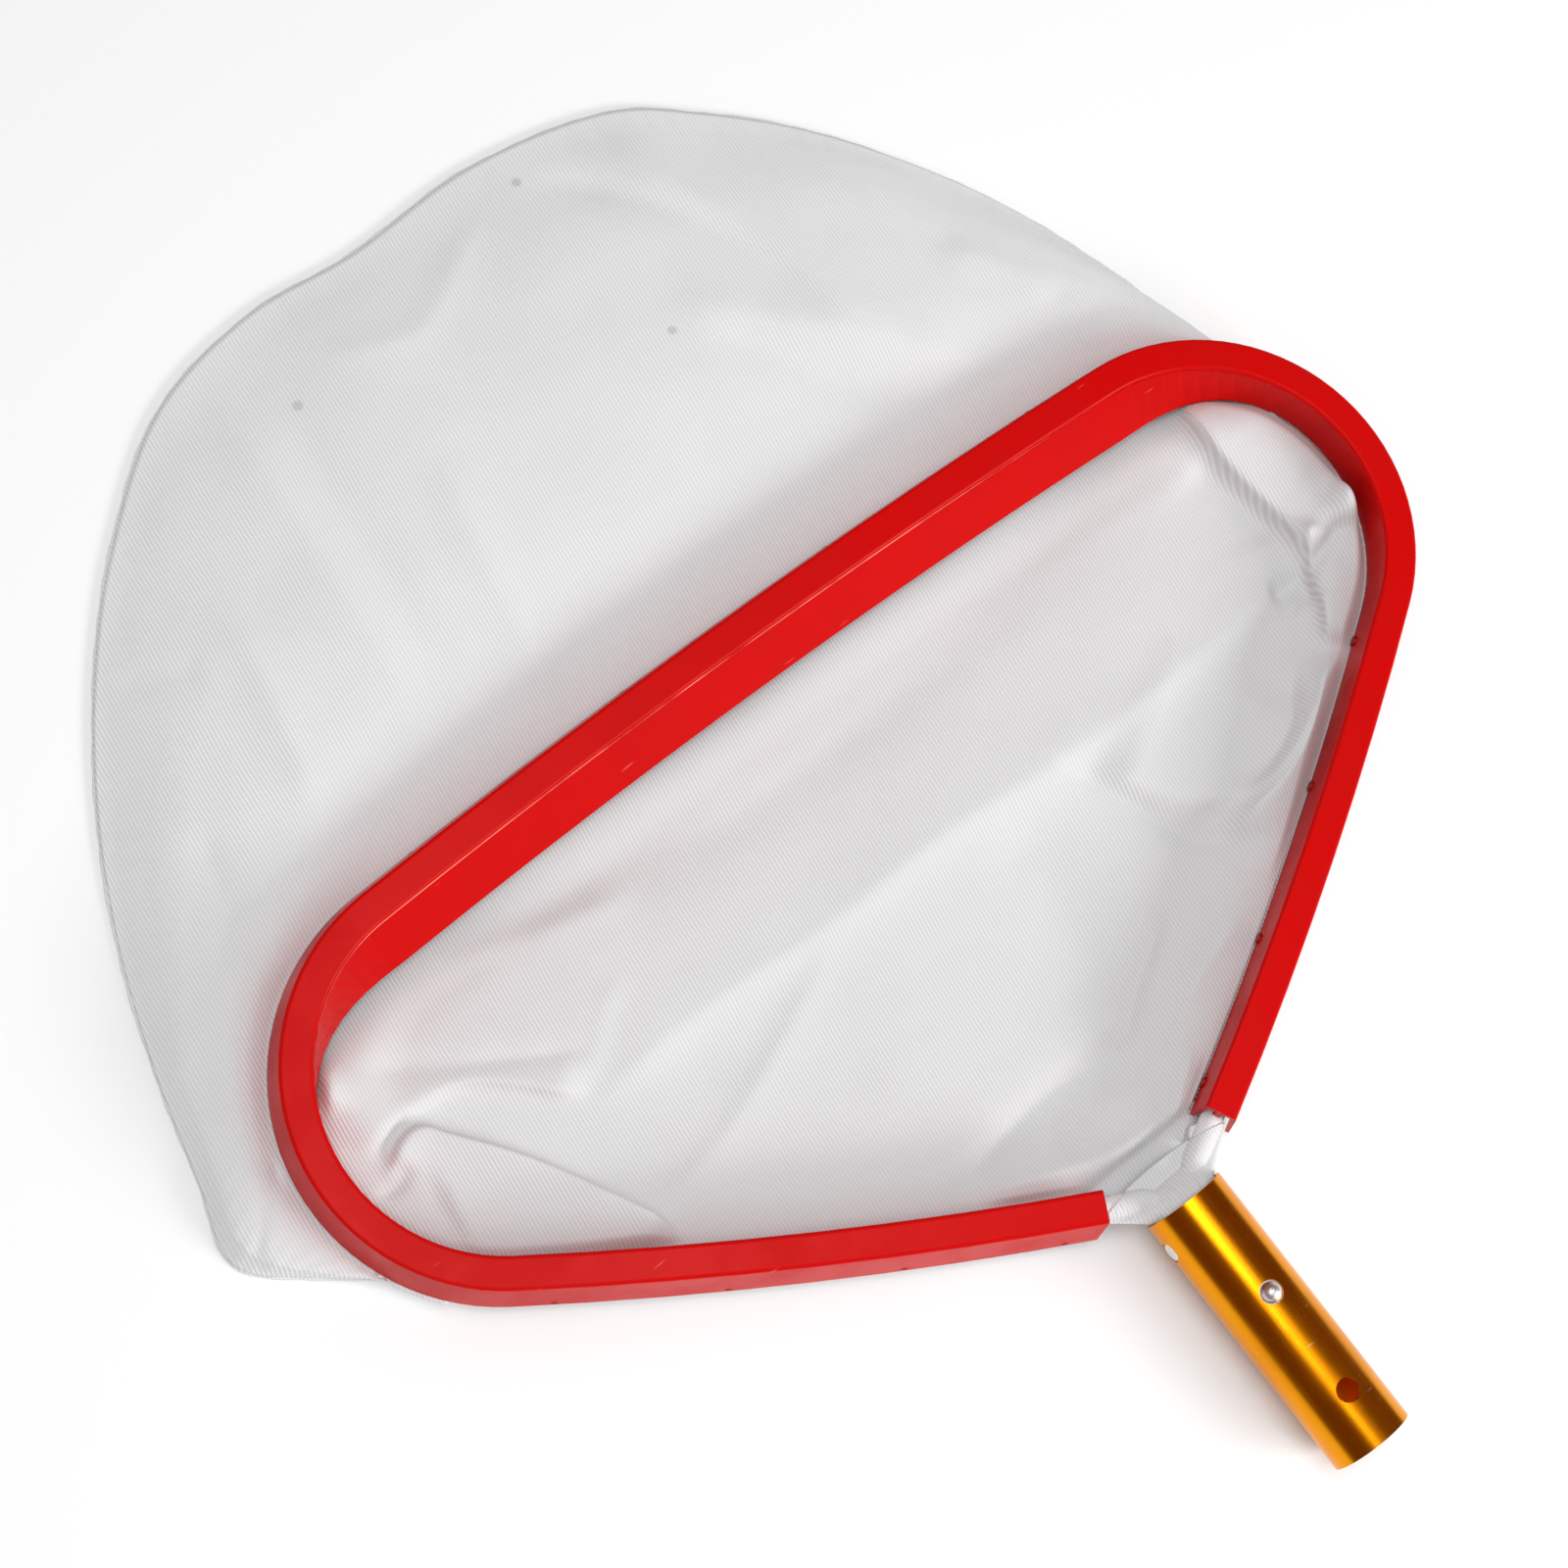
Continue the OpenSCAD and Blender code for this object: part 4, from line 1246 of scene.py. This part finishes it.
    def build(self) -> None:
        w = self.wardrobe
        upper, lower = self.upper(), self.lower()
        for obj in (upper, lower):
            thicken(obj, self.thickness)
        edge, thread = self.sewn_edge(), self.thread()
        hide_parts("net_upper_panel")
        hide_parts("net_lower_panel", "net_side_wall")
        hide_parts("bag_seam")
        settle(upper, w.cloth)
        # The lower cloth wears the darkened twill, which paints shade on it.
        settle(lower, w.inner)
        settle(edge, w.hem)
        settle(thread, w.thread)


@dataclass
class RodCloth:
    """The sleeve sewn round the rod and the gathered cloth at the neck.

    Attributes:
        wardrobe: The materials.
        sleeve_r: Outer radius of the sleeve in millimetres.
        bare_end: Length of the rod's line without a sleeve at each end.
        skin: Thickness of both cloths.
        neck_plan: Share of the way from the loop to the socket, half the neck's width there
            and where its sides lie along Y.
        neck_middle: Where the neck's middle lies along Y at the loop and at the socket.
        neck_high: Half the neck's height in the socket's mouth.
        sag: How far the upper and the lower layer hang at the loop.
        cover_r: Distance from a rod's centre that the cloth keeps over it.
        roll_y: Where the roll along the neck's free edge lies.
        lap: Where the lap lies along Y in the middle, and how it turns along X.
    """

    wardrobe: Wardrobe
    sleeve_r: float = 3.95
    bare_end: float = 17.0
    skin: float = 0.3
    neck_plan: tuple = ((0, 28.2, 111.2), (0.22, 23.6, 108.0), (0.45, 19.0, 104.4),
                        (0.68, 15.0, 101.1), (0.8, 13.4, 99.9), (1.0, 12.8, 98.2))
    neck_middle: tuple = (115.0, 98.4)
    neck_high: float = 9.2
    sag: tuple = (6.2, 6.6)
    cover_r: float = 4.3
    roll_y: float = 112.4
    lap: tuple = (108.0, 0.13)

    def sleeve(self) -> bpy.types.Object:
        """Builds the wrinkled sleeve round the rod, from one end of the strip to the other."""
        path = SHAPE.rod(0.0, True)
        run = run_of(path)
        s = np.arange(self.bare_end, run[-1] - self.bare_end, 1.6)
        line = points_at(path, run, s)
        a = turn_angles(24)
        r = self.sleeve_r + 0.10 * np.sin(s / 2.1)[:, None] * np.cos(a - 1)[None] \
            + 0.08 * np.sin(s / 5.3 + 1)[:, None] * np.sin(2 * a)[None]
        seam = np.exp(-((a - 1.5 * np.pi) / 0.28) ** 2)[None] * 0.25
        pts = sweep(np.c_[line, np.zeros(len(line))], -normals_of(line), rings(a, r + seam))
        return grid_object("rod_sleeve", pts, close_columns=True)

    def neck(self) -> bpy.types.Object:
        """Builds the cloth gathered round both rod ends and tucked into the socket's mouth."""
        share = np.linspace(0, 1, 60)
        steps, half, side = np.array(self.neck_plan).T
        side_y = np.interp(share, steps, side)[:, None]
        mid_y = np.interp(share, [0, 1], self.neck_middle)[:, None]
        u = np.linspace(-1, 1, 141)[None]
        x = np.interp(share, steps, half)[:, None] * u
        y = mid_y + (side_y - mid_y) * np.abs(u) ** 2.6
        blend = smooth(share * 1.05)[:, None]
        rods = SHAPE.half_rod(0.0, True)
        rods = rods[rods[:, 1] < 125]
        gap = np.min([np.hypot(np.abs(x) - px, y - py) for px, py in rods], axis=0)
        cover = np.sqrt(np.clip(self.cover_r**2 - gap**2, 0, None))
        arch = np.sqrt(np.clip(1 - u**2, 0, None))
        top = (1 - blend) * (-self.sag[0] * (1 - u**2)) + blend * self.neck_high * arch**0.9
        low = (1 - blend) * (-self.sag[1] * (1 - u**2)) - blend * self.neck_high * arch**0.9
        inward = 1 - np.abs(u)
        roll = np.exp(-(((y - self.roll_y + 0.0045 * x**2) / 1.5) ** 2)) * smooth(inward * 5)
        lap_y, turn = self.lap
        steep = np.where(y > lap_y + turn * x, 1.3, 4.5)
        lap = np.exp(-((y - lap_y - turn * x) / steep) ** 2)
        ribs = np.sin(u * 21 + 1.5 * np.sin(3 * u)) * blend * smooth(inward * 4)
        top = top + 1.5 * roll + 1.3 * lap * smooth(inward * 3) + 0.18 * ribs
        low = low + 1.5 * roll * (1 - blend) - 0.5 * ribs
        top, low = np.maximum(top, cover), np.minimum(low, -cover)
        upper = np.stack([x, y, top], -1)
        lower = np.stack([x, y, low], -1)[:, ::-1]
        return grid_object("neck_gather", np.concatenate([upper, lower], 1), close_columns=True)

    def build(self) -> None:
        sleeve, neck = self.sleeve(), self.neck()
        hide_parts("rim_hem")
        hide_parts("neck_gusset", "neck_wrap_left", "neck_wrap_right")
        thicken(sleeve, self.skin, -1)
        thicken(neck, self.skin, -1)
        settle(sleeve, self.wardrobe.hem)
        # The neck wears the darkened twill, which paints shade on it.
        settle(neck, self.wardrobe.inner)


# ---------------------------------------------------------------- studio


@dataclass
class Studio:
    """The pale floor, a soft box overhead, a second one in front, and the camera.

    Attributes:
        lens: Focal length in millimetres.
        eye: Place of the camera in metres.
        right: Direction of the camera's right side.
        down: Direction of the camera's underside.
        ahead: Direction the camera looks in.
        floor_size: Half the floor's width in millimetres.
        floor_drop: How far the floor lies under the net in millimetres.
        boxes: Name, place, width and depth, and power in watts of each soft box.
        aim: Point that the soft boxes face.
        fill: Strength of the surroundings.
        glossy_fill: What glossy rays see more, or less, of the surroundings.
        camera_fill: What the camera sees more of them.
        glossy_tint: Colour of the surroundings in glossy pieces.
    """

    lens: float = 74.41
    eye: tuple = (-0.3163, 0.1905, 1.0479)
    right: tuple = (0.7751, -0.6113, 0.1596)
    down: tuple = (-0.5711, -0.7860, -0.2369)
    ahead: tuple = (0.2703, 0.0925, -0.9583)
    floor_size: float = 4000
    floor_drop: float = 0.02
    boxes: tuple = (("soft_box", (-0.12, 0.2, 1.5), (0.62, 0.9), 9.5),
                    ("front_box", (0.6, -1.1, 0.68), (0.9, 0.4), 17))
    aim: tuple = (0.0, 0.25, 0.0)
    fill: float = 0.51
    glossy_fill: float = -0.37
    camera_fill: float = 0.45
    glossy_tint: tuple = (1.0, 0.42, 0.25)

    def floor(self) -> None:
        """Lays the floor under the bag."""
        pts = np.array([(-1, -1, 0), (1, -1, 0), (1, 1, 0), (-1, 1, 0)], float) * self.floor_size
        pts[:, 2] = SHAPE.floor_z - self.floor_drop
        obj = mesh_object("floor", pts, [[0, 1, 2, 3]])
        mat, _, shader = Finish("floor_white").start(Roughness=0.9, Specular_IOR_Level=0.1)
        shader.inputs["Base Color"].default_value = (0.93, 0.93, 0.93, 1)
        dress(obj, mat)

    def light(self, name: str, place: tuple, size: tuple, power: float) -> None:
        """Adds a soft box that faces the middle of the net.

        Args:
            name: Name of the light.
            place: Its place in metres.
            size: Its width and depth in metres.
            power: Its power in watts.
        """
        data = bpy.data.lights.new(name, "AREA")
        data.shape, data.size, data.size_y, data.energy = "RECTANGLE", *size, power
        obj = bpy.data.objects.new(name, data)
        obj.location = place
        obj.rotation_mode = "QUATERNION"
        facing = Vector(self.aim) - Vector(place)
        obj.rotation_quaternion = facing.to_track_quat("-Z", "Y")
        bpy.context.scene.collection.objects.link(obj)

    def world(self) -> None:
        """Fills shadows softly, and shows a darker room to glossy pieces."""
        world = bpy.data.worlds.new("studio")
        world.use_nodes = True
        bpy.context.scene.world = world
        s = NodeSheet(world.node_tree)
        path = s.add("LightPath")
        glossy, camera = path.outputs["Is Glossy Ray"], path.outputs["Is Camera Ray"]
        level = s.math("MULTIPLY_ADD", glossy, self.glossy_fill, self.fill)
        level = s.math("MULTIPLY_ADD", camera, self.camera_fill, level)
        back = world.node_tree.nodes["Background"]
        s.join(s.mix(glossy, (1, 1, 1, 1), (*self.glossy_tint, 1)), back.inputs[0])
        s.join(level, back.inputs[1])

    def camera(self) -> None:
        """Places the camera."""
        data = bpy.data.cameras.new("camera")
        data.lens, data.sensor_width, data.sensor_fit = self.lens, 36.0, "HORIZONTAL"
        data.clip_start, data.clip_end = 0.05, 20
        obj = bpy.data.objects.new("camera", data)
        axes = Matrix((self.right, [-c for c in self.down], [-c for c in self.ahead])).transposed()
        obj.matrix_world = Matrix.Translation(self.eye) @ axes.to_4x4()
        bpy.context.scene.collection.objects.link(obj)
        bpy.context.scene.camera = obj

    def build(self) -> None:
        """Builds the studio."""
        self.camera()
        self.floor()
        self.world()
        for box in self.boxes:
            self.light(*box)
        bpy.context.scene.view_settings.view_transform = "Standard"


def main() -> None:
    """Builds the net piece by piece."""
    logging.basicConfig(level=logging.INFO, format="%(name)s: %(message)s")
    Studio().build()
    wardrobe = Wardrobe()
    fittings = Fittings(wardrobe)
    fittings.dress_all()
    fittings.painted_highlight_line()
    Bag(wardrobe).build()
    RodCloth(wardrobe).build()


if __name__ == "__main__":
    main()
